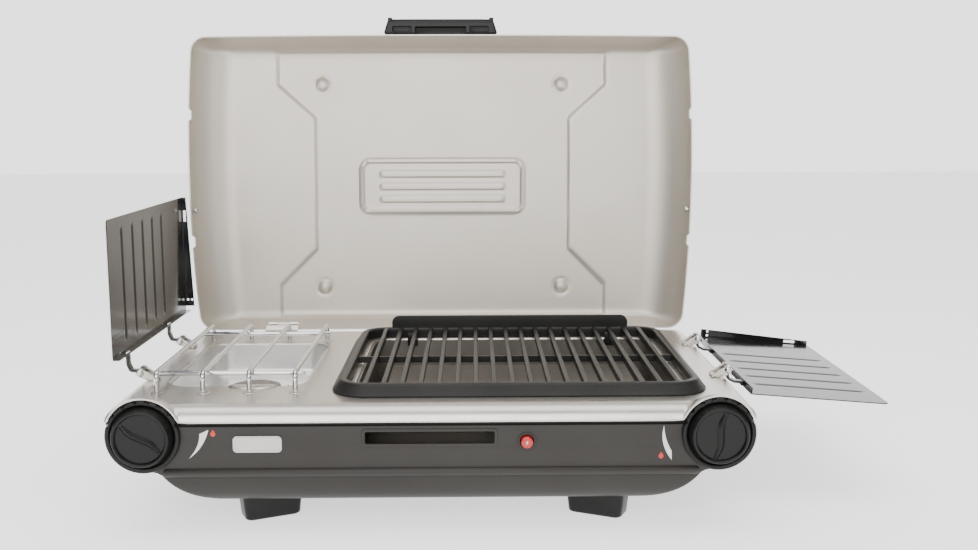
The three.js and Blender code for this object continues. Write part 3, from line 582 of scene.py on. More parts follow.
def lid_half_width(reach):
    return 302.7 + 0.1111 * reach - 0.000264 * reach * reach


def polygon_distance(px, py, outline):
    """Distance to a polygon's outline, positive inside."""
    best = np.full(px.shape, 1e9)
    inside = np.zeros(px.shape, bool)
    for i, (ax, ay) in enumerate(outline):
        bx, by = outline[(i + 1) % len(outline)]
        ex, ey = bx - ax, by - ay
        t = np.clip(((px - ax) * ex + (py - ay) * ey) / (ex * ex + ey * ey), 0, 1)
        best = np.minimum(best, np.hypot(px - ax - t * ex, py - ay - t * ey))
        crosses = (ay > py) != (by > py)
        slope = np.where(abs(by - ay) < 1e-9, 1e-9, by - ay)
        inside ^= crosses & (px < (py - ay) * ex / slope + ax)
    return np.where(inside, best, -best)


def box_distance(px, py, cx, cy, half_x, half_y, radius):
    """Distance to a rounded box's outline, positive outside."""
    qx = np.abs(px - cx) - half_x + radius
    qy = np.abs(py - cy) - half_y + radius
    return np.hypot(np.maximum(qx, 0), np.maximum(qy, 0)) + np.minimum(np.maximum(qx, qy), 0) - radius


def lid_relief(x, reach):
    """Height of the pressings above the lid's flat skin, positive outwards."""
    half = [(211, 8), (211, 52), (164, 99), (164, 268), (211, 310), (211, 354)]
    panel = half + [(-px, py) for px, py in reversed(half)]
    relief = 3.0 * smoothstep((polygon_distance(x, reach, panel) + 2.4) / 4.8)
    for side in (-1, 1):
        for at in (49.0, 311.0):
            r = np.hypot(x - side * 154, reach - at)
            relief = relief - 3.6 * smoothstep((8.8 - r) / 5.0) + 0.8 * np.exp(-((r - 9.8) / 1.8) ** 2)
    ridge = np.abs(box_distance(x, reach, 0, 180, 104, 33, 11))
    relief = relief - 2.2 * smoothstep((3.2 - ridge) / 2.2)
    for at in (164.0, 180.0, 196.0):
        bar = box_distance(x, reach, 0, at, 80, 3.6, 3.6)
        relief = relief - 1.8 * smoothstep((1.6 - bar) / 2.4)
    return relief


def lid_side_section(t):
    """(set in, height) down the lid's side wall for t from 0 on top to 1 at the rim."""
    bend = 50.0
    turn = np.minimum(t / 0.93, 1.0) * math.pi / 2
    straight = np.clip((t - 0.93) / 0.07, 0, 1)
    return bend * (1 - np.sin(turn)), (LID_DEPTH - bend) * (1 - straight) + bend * np.cos(turn)


def lid_end_section(t, lean, power):
    """The same for the front or rear wall, which leans in towards the top and turns over a soft edge."""
    def wall(height):
        return lean * (np.maximum(height - 12, 0) / (LID_DEPTH - 12)) ** power
    turn_height = LID_DEPTH - 9
    u = np.clip(1 - t / 0.35, 0, 1)
    low_in = wall(turn_height)
    soft_in = (1 - u) ** 2 * low_in + 2 * u * (1 - u) * lean + u ** 2 * (lean + 11)
    soft_height = (1 - u) ** 2 * turn_height + 2 * u * (1 - u) * LID_DEPTH + u ** 2 * LID_DEPTH
    height = turn_height * (1 - np.clip((t - 0.35) / 0.65, 0, 1))
    return np.where(t < 0.35, soft_in, wall(height)), np.where(t < 0.35, soft_height, height)


def lid_shell():
    fx = np.linspace(0, 1, 221)
    fy = np.linspace(0, 1, 141)
    steps = 34
    rings = []
    for k in range(steps + 1):
        t = k / steps
        side_in, _ = lid_side_section(np.array(t))
        front_in, front_height = lid_end_section(np.array(t), 12.0, 1.6)
        rear_in, rear_height = lid_end_section(np.array(t), 9.0, 1.3)
        middle_half = lid_half_width(LID_LENGTH / 2) - side_in
        radius = 4 + 14 * t
        x, reach, side = ring_points(-middle_half, float(rear_in), middle_half, LID_LENGTH - float(front_in),
                                     (radius, radius), fx, fy)
        notch = np.zeros_like(reach)
        for arm_y in SCREEN_ARMS:
            notch = np.maximum(notch,
                               smoothstep((NOTCH_HALF_WIDTH - np.abs(reach - (LID_REAR_Y - arm_y))) / 2.0))
        notch = np.where(side > 0.99, notch, 0)
        end_t = 1 - notch * NOTCH_RISE
        side_in_here, side_height = lid_side_section(t * end_t)
        grow = (lid_half_width(reach) - side_in_here) / middle_half
        x = x * grow
        end_height = np.where(reach < LID_LENGTH / 2, rear_height, front_height)
        weight = smoothstep(side)
        height = weight * side_height + (1 - weight) * end_height
        bow = np.where(reach > LID_LENGTH / 2, 2 * (1 - (x / 310) ** 2) * (1 - weight), 0)
        rings.append((x, reach + bow, height))
    points, faces = dished_sheet("lid", fx, fy, rings)
    points = np.array(points)
    points[:, 2] += lid_relief(points[:, 0], points[:, 1]) * smoothstep((points[:, 2] - 50) / 4)
    x, y, z = lid_place(points[:, 0], points[:, 1], points[:, 2])
    shell = mesh_object("lid_pressing", np.stack([x, y, z], axis=1), faces, 60)
    thicken(shell, SHEET, -1.0)
    return settle(shell, "lid", "lid_paint", ["lid_shell"])


def lid_fittings():
    front = LID_REAR_Y - 385.1
    wall = LID_REAR_Y - 368.5
    base_y = LID_REAR_Y - 371
    grip = plate("grip", [[(-69, wall), (-70.5, base_y), (-66, front), (66, front), (70.5, base_y),
                           (69, wall)]],
                 "z", LID_RIM_Z + 9, LID_RIM_Z + 26, 2.4, 4)
    hollows = [block("hollow", (a, front + 6.5, LID_RIM_Z + 4), (b, wall - 2.5, LID_RIM_Z + 13), 1.2)
               for a, b in ((-60, -36), (36, 60))]
    hollows.append(block("hollow", (-32, front + 7, LID_RIM_Z + 4), (32, wall + 5, LID_RIM_Z + 20), 1.2))
    grip = carve(grip, hollows)
    ears = [block("ear", (min(s * 60.5, s * 66), LID_REAR_Y - 389.9, LID_RIM_Z + 15),
                  (max(s * 60.5, s * 66), front + 1.5, LID_RIM_Z + 25), 1.0) for _, s in SIDES]
    settle(to_lid(join("lid_grip", [grip, *ears])), "lid", "black_plastic", ["lid_handle"])

    bar_front = LATCH_FRONT
    bar = plate("bar", [rounded_rect(-59.5, LID_RIM_Z - 33.5, 59.5, LID_RIM_Z + 21.0, 2.0)],
                "y", bar_front, bar_front + 2.4, 0.5)
    tongue = plate("tongue", [rounded_rect(-55, bar_front + 0.4, 55, LID_REAR_Y - 376, 2.0)],
                   "z", LID_RIM_Z - 33.5, LID_RIM_Z - 30.5, 0.6)
    rib_back = bar_front + LATCH_RIB_DEPTH
    ribs = [block("rib", (x - 0.9, bar_front + 2.0, LID_RIM_Z - 30), (x + 0.9, rib_back, LID_RIM_Z + 8), 0.4)
            for x in (-45, -22.5, 0, 22.5, 45)]
    pins = tube("pins", [(-62.8, LID_REAR_Y - 387, LID_RIM_Z + 20),
                         (62.8, LID_REAR_Y - 387, LID_RIM_Z + 20)],
                0, 1.4)
    settle(to_lid(throw_latch(join("latch", [bar, tongue, *ribs, pins]))), "latch", "black_plastic",
           ["latch_bar"])

    for name, side in SIDES:
        low, high = box_mm(f"hook_pin_{name}")
        middle = (low + high) / 2
        profile = [(0, 0), (3.2, 0), (3.2, 2.2), (4.1, 2.4), (4.5, 3.0), (4.5, 3.9), (3.6, 4.7), (0, 5.0)]
        pin = turned("pin", profile, (0, 0, 0), "x", 32)
        wall_x = high[0] if side > 0 else low[0]
        transform(pin, lambda x, y, z: (wall_x - side * x, middle[1] + y, middle[2] + z))
        clean(pin)
        pin.name = f"hook_stud_{name}"
        settle(pin, "lid", "chrome_wire", [f"hook_pin_{name}"])


lid_shell()
lid_fittings()


# ------------------------------------------------------------------ deck
def hood_height(x, y):
    """The round cover over each knob, which fades into the deck behind it."""
    front_y, fade_y = -178.0, -148.0
    fade = smoothstep((y - front_y) / (fade_y - front_y))
    radius = POD_RADIUS + 2 - fade * (POD_RADIUS + 2 - (DECK_Z - KNOB_Z) + 0.6)
    dx = np.abs(x) - KNOB_X
    rise = np.sqrt(np.maximum(radius ** 2 - dx ** 2, 0.0))
    return np.where(rise > 0, KNOB_Z + rise, 0.0)


def fractions(stops):
    """Edge fractions from (value, pitch) stops: each span is cut evenly at its pitch."""
    values = [stops[0][0]]
    for (a, pitch), (b, _) in zip(stops, stops[1:]):
        count = max(1, round((b - a) / pitch))
        values.extend(a + (b - a) * (k + 1) / count for k in range(count))
    values = np.array(values)
    return (values - values[0]) / (values[-1] - values[0])


def opening_lip(name, hole, corner, drop):
    """The deck's edge turned down round an opening."""
    left, front, right, rear = hole
    section = [(2.0, 0.0), (1.2, -0.15), (0.5, -0.6), (0.1, -1.4), (0.0, -2.4), (0.0, -drop),
               (0.9, -drop), (1.0, -2.4), (1.3, -1.6), (2.0, -1.2)]
    rings = []
    for offset, dz in section:
        loop = rounded_rect(left - offset, front - offset, right + offset, rear + offset, corner + offset,
                            10)
        rings.append([(x, y, DECK_Z + dz) for x, y in loop])
    rings.append(rings[0])
    return ring_skin(name, rings, False, False, 50)


def top_deck():
    half = 307.0
    front_y, rear_y = -181.5, 186.5
    shoulder, front_roll, rear_roll = 15.0, 16.5, 4.0
    hood_from = KNOB_X - 46
    fx = fractions([(-292, 1.8), (-hood_from, 9.0), (hood_from, 1.8), (292, 1)])
    fy = fractions([(-165, 2.2), (-140, 9.0), (182, 1)])
    steps = 16
    rings = []
    for k in range(steps + 1):
        turn = min(k / (steps - 1), 1.0) * math.pi / 2
        x_in = shoulder * (1 - math.sin(turn))
        front_in = front_roll * (1 - math.sin(turn))
        rear_in = rear_roll * (1 - math.sin(turn))
        x, y, side = ring_points(-half + x_in, front_y + front_in, half - x_in, rear_y - rear_in,
                                 (2.0, 4.0 + 4.0 * math.sin(turn)), fx, fy)
        side_z = DECK_Z - shoulder + shoulder * math.cos(turn)
        front_z = DECK_Z - front_roll + front_roll * math.cos(turn)
        rear_z = DECK_Z - rear_roll + rear_roll * math.cos(turn)
        if k == steps:
            side_z = front_z = rear_z = SKIRT_Z
        end_z = np.where(y < 0, front_z, rear_z)
        z = side * side_z + (1 - side) * end_z
        z = np.maximum(z, SKIRT_Z)
        rings.append((x, y, z))
    points, faces = dished_sheet("deck", fx, fy, rings)
    points = np.array(points)
    points[:, 2] = smooth_max(points[:, 2], hood_height(points[:, 0], points[:, 1]), 3.0)
    deck = mesh_object("deck", points, faces, 50)
    thicken(deck, SHEET, -1.0)
    lip = 2.0
    cutters = []
    for hole, corner in ((WELL_HOLE, 25.0), (BASIN_HOLE, 26.0)):
        left, front, right, rear = hole
        loop = rounded_rect(left - lip, front - lip, right + lip, rear + lip, corner + lip, 10)
        levels = (DECK_Z - 15, DECK_Z + 15)
        cutters.append(ring_skin("cutter", [[(x, y, z) for x, y in loop] for z in levels]))
    carve(deck, cutters)
    parts = [deck, opening_lip("lip", WELL_HOLE, 25.0, 7.0), opening_lip("lip", BASIN_HOLE, 26.0, 7.0)]
    for x in (-272, -226.7, -181.3, -136):
        for y in (-124, 124):
            profile = [(0, -0.3), (7.0, -0.3), (6.4, 0.35), (5.2, 0.75), (4.2, 0.5), (3.6, 0.1), (0, 0.05)]
            parts.append(turned("foot_seat", profile, (x, y, DECK_Z), "z", 28, sharp_angle=70))
    swell = []
    for k, (scale, dz) in enumerate(((1.0, -0.4), (0.97, 0.8), (0.9, 1.7), (0.75, 2.1), (0.4, 2.2),
                                     (0.02, 2.2))):
        ring = [(-182.5 + 25 * scale * math.cos(math.radians(a)), WELL_HOLE[1] - 1.5
                 - 12 * scale * abs(math.sin(math.radians(a))) * (1 if a > 180 else 0.02), DECK_Z + dz)
                for a in range(0, 360, 6)]
        swell.append(ring)
    parts.append(ring_skin("swell", swell, True, True, 60))
    return settle(join("deck_pressing", parts), "base", "deck_steel", ["top_deck"])


top_deck()


# ------------------------------------------------------------------ liners
def liner(name, node, hole, corner, wall, fillet, slot):
    low, high = box_mm(node)
    left, front, right, rear = (hole[0] + wall, hole[1] + wall, hole[2] - wall, hole[3] - wall)
    floor_z = low[2] + 1.5
    top_z = high[2]
    fx = np.linspace(0, 1, 31)
    fy = np.linspace(0, 1, 41)
    rings = []
    arc_steps, wall_steps = 8, 4
    draft = 2.5
    for k in range(arc_steps + wall_steps + 1):
        if k <= arc_steps:
            turn = k / arc_steps * math.pi / 2
            inset = draft + fillet * (1 - math.sin(turn))
            z = floor_z + fillet * (1 - math.cos(turn))
        else:
            along = (k - arc_steps) / wall_steps
            inset = draft * (1 - along)
            z = floor_z + fillet + (top_z - floor_z - fillet) * along
        radius = max(corner - wall - inset, 6.0)
        x, y, _ = ring_points(left + inset, front + inset, right - inset, rear - inset, (radius, radius), fx,
                              fy)
        rings.append((x, y, np.full_like(x, z)))
    x, y, _ = ring_points(left - 5, front - 5, right + 5, rear + 5, (corner + 3, corner + 3), fx, fy)
    rings.append((x, y, np.full_like(x, top_z)))
    points, faces = dished_sheet(name, fx, fy, rings)
    tray = mesh_object(name, points, faces, 45)
    thicken(tray, 1.2, 1.0 if tray.data.polygons[0].normal.z < 0 else -1.0)
    return settle(tray, "base", slot, [node])


liner("well_liner", "stove_well", WELL_HOLE, 25.0, 1.8, 9.0, "well_aluminium")
liner("basin_liner", "grill_basin", BASIN_HOLE, 26.0, 1.8, 10.0, "inner_steel")


# ------------------------------------------------------------------ base pan and feet
def base_pan():
    low, high = box_mm("base_pan")
    under = low[2] + 0.8
    top = high[2]
    shoulder = 33.3
    front_y = low[1]
    section = [(-KNOB_X - shoulder, top - (top - 68) * k / 6) for k in range(6)]
    section += [(-KNOB_X - shoulder * math.cos(math.radians(a)), 68 - shoulder * math.sin(math.radians(a)))
                for a in range(0, 91, 6)]
    section += [(-257.0, 31.5)]
    p0, p1, p2 = (-257.0, 31.5), (-237.0, 3.0), (-192.0, under)
    for k in range(1, 15):
        t = k / 14
        section.append(tuple((1 - t) ** 2 * a + 2 * t * (1 - t) * b + t * t * c for a, b,
                             c in zip(p0, p1, p2)))
    section += [(-192 + 384 * k / 40, under) for k in range(1, 20)]
    section += [(0.0, under)]
    section += [(-x, z) for x, z in reversed(section[:-1])]
    radius = 22.0
    profile = [(front_y, top - (top - under - radius) * k / 10) for k in range(10)]
    profile += [(front_y + radius - radius * math.cos(math.radians(a)),
                 under + radius - radius * math.sin(math.radians(a))) for a in range(0, 91, 6)]
    profile += [(front_y + radius + (-front_y - radius) * k / 10, under) for k in range(1, 11)]
    profile += [(-y, z) for y, z in reversed(profile[:-1])]
    sx, sz = np.array(section).T
    py, pz = np.array(profile).T
    blend = 5.0
    z = under + ((sz[:, None] - under) ** blend + (pz[None, :] - under) ** blend) ** (1 / blend)
    z = np.minimum(z, top)
    points = np.stack([np.repeat(sx[:, None], len(py), 1), np.repeat(py[None, :], len(sx), 0), z], axis=2)
    faces = strip_faces(len(sx), len(py))
    pan = mesh_object("pan", points.reshape(-1, 3), faces, 40)
    thicken(pan, 2.0, -1.0)
    slot_low, slot_high = (-65, -180, DECK_Z - 38.5), (61, -170, DECK_Z - 23)
    cutters = [block("cutter", slot_low, slot_high, 0)]
    for x, z, r in ((-KNOB_X, KNOB_Z, 7), (KNOB_X, KNOB_Z, 7), (IGNITER_X, IGNITER_Z, 8)):
        cutters.append(turned("cutter", [(0, -8), (r, -8), (r, 8), (0, 8)], (x, front_y, z), "y", 24))
    cutters.append(turned("cutter", [(0, -8), (6.5, -8), (6.5, 8), (0, 8)], (281, -front_y, 55), "y", 24))
    carve(pan, cutters)
    pad = plate("pad", [rounded_rect(-110, -90, 110, 90, 12)], "z", low[2], low[2] + 1.6, 0.6)
    return settle(join("base_tub", [pan, pad]), "base", "base_paint", ["base_pan"])


def feet():
    for row_name in ("front", "rear"):
        for name, side in SIDES:
            node = f"foot_{row_name}_{name}"
            low, high = box_mm(node)
            middle = (low + high) / 2
            row = -1 if row_name == "front" else 1
            turn = row * side * math.radians(25)
            rings = []
            levels = [(0, 0.84, 2.2), (0.5, 0.87, 1.0), (1.6, 0.905, 0.2), (3, 0.92, 0), (14, 0.96, 0),
                      (high[2] - low[2], 1.0, 0)]
            for dz, scale, inset in levels:
                loop = rounded_rect(-30 * scale + inset, -14 * scale + inset, 30 * scale - inset,
                                    14 * scale - inset, 6 * scale - inset * 0.5, 6)
                rings.append([(middle[0] + x * math.cos(turn) - y * math.sin(turn),
                               middle[1] + x * math.sin(turn) + y * math.cos(turn), low[2] + dz) for x,
                              y in loop])
            foot = ring_skin(f"moulded_foot_{row_name}_{name}", rings, sharp_angle=50)
            settle(foot, "base", "black_plastic", [node])


base_pan()
feet()


# ------------------------------------------------------------------ fascia
SLOT_LEFT, SLOT_RIGHT, SLOT_LOW, SLOT_HIGH = -63.0, 59.0, DECK_Z - 36.5, DECK_Z - 25


def fascia():
    plate_top = 79.0
    low_z = FASCIA_LOW[2]
    front_y, back_y = FACE_Y, FASCIA_HIGH[1]
    reach = math.degrees(math.asin((plate_top - KNOB_Z) / POD_RADIUS))
    outline = arc(KNOB_X, KNOB_Z, POD_RADIUS, -104, 180 - reach, 48)
    outline += arc(-KNOB_X, KNOB_Z, POD_RADIUS, reach, 284, 48)
    outline += [(-258, low_z + 3.2), (-253, low_z + 0.6), (-247, low_z), (247, low_z), (253, low_z + 0.6),
                (258, low_z + 3.2)]
    slot = rounded_rect(SLOT_LEFT, SLOT_LOW, SLOT_RIGHT, SLOT_HIGH, 1.5, 4)
    holes = [disc(-KNOB_X, KNOB_Z, 5.5), disc(KNOB_X, KNOB_Z, 5.5), disc(IGNITER_X, IGNITER_Z, 6.3)]
    panel = plate("panel", [outline, slot, *holes], "y", front_y, back_y, 0.9, 3)
    bead_z = low_z + 4.3
    bead = tube("bead", [(-253, front_y + 1, bead_z), (253, front_y + 1, bead_z)], 0, 4.3, 28)
    surround = rounded_rect(SLOT_LEFT - 3, SLOT_LOW - 3, SLOT_RIGHT + 3, SLOT_HIGH + 3, 3.5, 6)
    ridge = plate("slot_frame", [surround, slot], "y", front_y - 0.7, front_y + 0.8, 0.5)
    collar = plate("collar", [disc(IGNITER_X, IGNITER_Z, 9.2), disc(IGNITER_X, IGNITER_Z, 6.5)], "y",
                   front_y - 0.8, front_y + 0.6, 0.6)
    settle(join("fascia_panel", [panel, bead, ridge, collar]), "base", "base_paint", ["front_fascia"])


def curve_between(start, pull, end, steps=12):
    """Points on a curve from start to end that bends towards pull."""
    points = []
    for k in range(steps + 1):
        t = k / steps
        points.append(tuple((1 - t) ** 2 * a + 2 * t * (1 - t) * b + t * t * c for a, b,
                            c in zip(start, pull, end)))
    return points


def flame(cx, cz, size):
    points = [(0, -1), (0.55, -0.75), (0.7, -0.2), (0.45, 0.3), (0.5, 0.75), (0.12, 0.45), (-0.1, 1.0),
              (-0.3, 0.35),
              (-0.62, 0.05), (-0.6, -0.6)]
    return [(cx + x * size, cz + z * size) for x, z in points]


def front_marks():
    face = FACE_Y
    left_tip, left_top, left_edge = (42.0, -22.0), (53.0, 2.2), (61.5, 6.2)
    right_top, right_tip, right_edge = (-52.0, 8.0), (-44.3, -25.8), (-44.5, -17.0)
    left_wedge = (curve_between(left_tip, (53.0, -10.5), left_top)
                  + curve_between(left_edge, (57.5, -11.0), left_tip)[:-1])
    right_wedge = (curve_between(right_top, (-57.0, -10.0), right_tip)
                   + curve_between(right_edge, (-51.5, -5.0), right_top)[:-1])
    white = [plate("mark", [[(-KNOB_X + x, KNOB_Z + z) for x, z in left_wedge]], "y", face - 0.35,
                   face + 0.1, 0.1),
             plate("mark", [[(KNOB_X + x, KNOB_Z + z) for x, z in right_wedge]], "y", face - 0.35,
                   face + 0.1, 0.1)]
    settle(join("heat_marks", white), "base", "plate_steel", material=MARK_WHITE)
    red = [plate("mark", [flame(-KNOB_X + 65.5, KNOB_Z + 3.0, 3.6)], "y", face - 0.35, face + 0.1, 0.1),
           plate("mark", [flame(KNOB_X - 54.5, KNOB_Z - 21, 3.6)], "y", face - 0.35, face + 0.1, 0.1)]
    settle(join("flame_marks", red), "base", "button_red", material=MARK_RED)
    low, high = box_mm("name_plate")
    badge = plate("badge", [rounded_rect(low[0], low[2], high[0], high[2], 4, 8)], "y", low[1], high[1], 0.3)
    border = plate("border", [rounded_rect(low[0] + 0.6, low[2] + 0.6, high[0] - 0.6, high[2] - 0.6, 3.6, 8),
                              rounded_rect(low[0] + 2, low[2] + 2, high[0] - 2, high[2] - 2, 2.4, 8)],
                   "y", low[1] - 0.35, high[1] - 0.2, 0.15)
    settle(join("blank_badge", [badge, border]), "base", "plate_steel", ["name_plate"])


fascia()
front_marks()


# ------------------------------------------------------------------ knobs
def bezels_and_knobs():
    ridge_angles = {"left": -38.0, "right": 76.0}
    bodies = {"left": "stove_knob", "right": "grill_knob"}
    for name, side in SIDES:
        low, high = box_mm(f"knob_bezel_{name}")
        outer, inner = POD_RADIUS - 0.2, 30.6
        front, back = -low[1], -high[1]
        profile = [(inner, back), (outer, back), (outer, front - 1.6), (outer - 0.5, front - 0.5),
                   (outer - 1.5, front), (inner + 1.2, front), (inner + 0.3, front - 0.4),
                   (inner, front - 1.2)]

        def notched(index, radius, turn):
            degrees = math.degrees(turn) % 360
            near = min(abs(degrees - (20 + 20 * i)) for i in range(8))
            cut = 1.6 * float(smoothstep((4.2 - near) / 1.4))
            return radius - cut if index in (2, 3, 4) else radius

        rings = []
        for index, (radius, along) in enumerate(profile + profile[:1]):
            index = index % len(profile)
            ring = []
            for k in range(240):
                turn = 2 * math.pi * k / 240
                r = notched(index, radius, turn)
                ring.append((side * KNOB_X + r * math.cos(turn), -along, KNOB_Z + r * math.sin(turn)))
            rings.append(ring)
        bezel = ring_skin(f"bezel_{name}", rings, False, False, 40)
        settle(bezel, "base", "black_plastic", [f"knob_bezel_{name}"])

        low, high = box_mm(f"knob_{name}")
        back_y, front_y = high[1], low[1]
        depth = back_y - front_y
        angle = math.radians(ridge_angles[name])
        along_x, along_z = math.cos(angle), math.sin(angle)
        rim_radius = 26.3

        def face(u, v):
            r = math.hypot(u, v)
            a = u * along_x + v * along_z
            b = -u * along_z + v * along_x - 2.2 * math.sin(a / 24 * math.pi)
            bowl = depth - 7.6 * float(smoothstep((24.9 - r) / 4.6)) + 0.5 * math.exp(-(r / 14) ** 2)
            ridge = depth + 0.2 - 0.0035 * a * a - 7.5 * (abs(b) / 8.0) ** 1.15
            value = float(smooth_max(np.array(bowl), np.array(ridge), 1.4))
            inside = float(smoothstep((25.2 - r) / 1.0))
            return bowl + (value - bowl) * inside

        top = polar_face("top", (side * KNOB_X, back_y, KNOB_Z), "-y", rim_radius - 0.4, face, 48, 112,
                         depth - 3)
        wall = [(rim_radius - 1.5, depth - 4), (rim_radius - 0.6, depth - 0.02), (rim_radius, depth - 0.2),
                (rim_radius + 0.5, depth - 0.9), (rim_radius + 1.0, depth - 2.6), (28.3, 6), (29.3, 3.4),
                (29.9, 1.6),
                (30.0, 0.4), (29.5, 0), (5.0, 0), (5.0, depth - 4)]
        rings = []
        for radius, along in wall + wall[:1]:
            rings.append([(side * KNOB_X + radius * math.cos(2 * math.pi * k / 112), back_y - along,
                           KNOB_Z + radius * math.sin(2 * math.pi * k / 112)) for k in range(112)])
        skirt = ring_skin("skirt", rings, False, False, 40)
        knob = join(f"control_knob_{name}", [top, skirt])
        settle(knob, bodies[name], "black_plastic", [f"knob_{name}"])

    low, high = box_mm("igniter_button")
    length = high[1] - low[1]
    profile = [(0, 0), (5.4, 0), (5.8, 0.4), (5.8, length - 1.2), (5.4, length - 0.4), (4.6, length),
               (3.6, length - 0.15), (0, length - 0.5)]
    button = turned("push_button", profile, (IGNITER_X, high[1], IGNITER_Z), "-y", 40)
    settle(button, "igniter", "button_red", ["igniter_button"])
    bolt = [(0.9, 2.4), (-1.5, -0.3), (-0.2, -0.3), (-0.9, -2.4), (1.5, 0.4), (0.2, 0.4)]
    spark = plate("spark", [[(IGNITER_X + x, IGNITER_Z + z) for x, z in bolt]], "y", low[1] - 0.05,
                  low[1] + 0.7, 0.1)
    settle(spark, "igniter", "button_red", material=MARK_WHITE)


bezels_and_knobs()


# ------------------------------------------------------------------ gas fittings
def gas_fittings():
    low, high = box_mm("gas_inlet")
    x, z = (low[0] + high[0]) / 2, (low[2] + high[2]) / 2
    wall_y = 175.8
    nut_loop = [(x + 12.0 * math.cos(math.radians(60 * k)), z + 12.0 * math.sin(math.radians(60 * k)))
                for k in range(6)]
    nut = plate("nut", [nut_loop], "y", wall_y, wall_y + 7.7, 0.9)
    threads = [(0, -5.8), (6, -5.8)]
    for k in range(7):
        at = 8 + k * 0.9
        threads += [(6.0, at), (5.5, at + 0.45)]
    threads += [(6, 7 * 0.9 + 7.2), (0, high[1] - wall_y)]
    barrel_end = high[1] - wall_y
    threads = [p for p in threads if p[1] < barrel_end - 0.6]
    threads += [(5.6, barrel_end - 0.4), (5.0, barrel_end), (0, barrel_end)]
    barrel = turned("barrel", threads, (x, wall_y, z), "y", 32)
    settle(join("regulator_inlet", [nut, barrel]), "base", "gas_brass", ["gas_inlet"])

    low, high = box_mm("stove_burner")
    x, y = (low[0] + high[0]) / 2, (low[1] + high[1]) / 2
    base = low[2]
    rise = high[2] - low[2]
    ports = 36
    profile = [(0, 0), (9.4, 0), (9.4, 2), (16, rise - 6.5), (25.5, rise - 4.2), (27, rise - 3.2),
               (27, rise - 0.4), (26.4, rise), (22, rise), (20, rise - 2), (0, rise - 2)]

    def ported(index, radius, turn):
        gate = float(smoothstep((math.cos(turn * ports) - 0.1) / 0.6))
        return radius - 1.1 * gate if index in (6, 7) else radius

    head = turned("pan_burner_head", profile, (x, y, base), "z", 288, ported, 40)
    settle(head, "base", "well_aluminium", ["stove_burner"])
    low, high = box_mm("stove_burner_cap")
    rise = high[2] - low[2]
    profile = [(0, 0), (19, 0), (21, rise - 4.7), (27.5, rise - 4.7), (28, rise - 4.3), (28, rise - 2.4),
               (27.4, rise - 1.7), (22.5, rise - 0.3), (20, rise), (6, rise - 0.5), (0, rise - 0.6)]
    cap = turned("pan_burner_lid", profile, (x, y, low[2]), "z", 96)
    settle(cap, "base", "inner_steel", ["stove_burner_cap"])


gas_fittings()


# ------------------------------------------------------------------ grate and pan support
def grill_grate():
    low, high = box_mm("grill_grate")
    left, front, right, rear = low[0], low[1], high[0], high[1]
    corner, rim = 30.0, 8.0
    base_z, top_z = DECK_Z + 0.3, DECK_Z + 12
    outer_loop = rounded_rect(left, front, right, rear, corner, 14)
    inner_loop = rounded_rect(left + rim, front + rim, right - rim, rear - rim, corner - rim, 12)
    frame_ring = plate("rim", [outer_loop, inner_loop], "z", base_z, top_z, 2.2, 4)
    skirt = []
    for flare, rise in ((6.5, 0.2), (7.0, 1.2), (5.2, 3.2), (2.4, 7), (0.6, 9.6), (-2.5, 9.2), (-2.5, 0.6)):
        z = base_z + rise
        loop = rounded_rect(left - flare, front - flare, right + flare, rear + flare * 0.4, corner + flare,
                            14)
        skirt.append([(x, y, z) for x, y in loop])
    skirt.append(skirt[0])
    parts = [frame_ring, ring_skin("skirt", skirt, False, False, 50)]
    for k in range(18):
        x = -66.3 + 18.03 * k
        outline = ([(x - 1.5, base_z + 2), (x + 1.5, base_z + 2)]
                   + arc(x + 1.4, top_z - 1.3, 1.2, -10, 90, 4) + arc(x - 1.4, top_z - 1.3, 1.2, 90, 190, 4))
        rings = [[(px, y, pz) for px, pz in outline] for y in (front + rim - 1, rear - rim + 1)]
        parts.append(ring_skin("bar", rings, sharp_angle=40))
    rib = [(-2.0, base_z + 1), (2.0, base_z + 1), (1.6, top_z - 4), (-1.6, top_z - 4)]
    parts.append(ring_skin("rib", [[(x, y, z) for y, z in rib] for x in (left + 4, right - 4)]))
    guard = rounded_rect(-60, top_z - 20, 228, DECK_Z + 26, 9, 10)
    guard = [(x, max(z, base_z + 0.5)) for x, z in guard]
    guard = [p for i, p in enumerate(guard) if i == 0 or p != guard[i - 1]]
    parts.append(plate("guard", [guard], "y", rear - 3.2, rear, 1.0, 3))
    for x in (BASIN_HOLE[0] + 40, BASIN_HOLE[2] - 52):
        for y in (BASIN_HOLE[1] + 3.5, BASIN_HOLE[3] - 7):
            parts.append(block("lug", (x, y, DECK_Z - 8), (x + 12, y + 3, top_z - 4), 0.8))
    settle(join("grate_casting", parts), "grate", "cast_grate", ["grill_grate"])


def pan_support():
    wire = 2.5
    bars_x = (-272, -226.7, -181.3, -136)
    front, rear = -124, 124
    top = DECK_Z + 20
    foot = DECK_Z + 0.3
    parts = [tube("bar", [(x, front, foot), (x, front, top), (x, rear, top), (x, rear, foot)], 7, wire, 18)
             for x in bars_x]
    rod_z = top - 2 * wire + 0.6
    for y in (-107, 92):
        parts.append(tube("rod", [(bars_x[0] - 4, y, rod_z), (bars_x[-1] + 8, y, rod_z)], 0, wire, 18))
    settle(join("wire_pan_support", parts), "wire_rack", "chrome_wire", ["pan_support"])


grill_grate()
pan_support()


# ------------------------------------------------------------------ windscreens
SCREEN_FRONT, SCREEN_BACK = -102.0, 186.0
SCREEN_FOOT, SCREEN_TOP = 18.5, 160.0
SCREEN_OUT = 16.8
SCREEN_SHEET = 1.2
FLANGE_AT_FOOT, FLANGE_AT_TOP = 10.6, 4.9  # how far the upright flange reaches in from the panel
FLANGE_HOLES = (3, 8)
ARM_SHEET = 2.4
ARM_OUT = 13.2  # where the arm stands, just outside the shut lid's wall
LEAN = {"left": 0.0, "right": math.radians(94.6)}


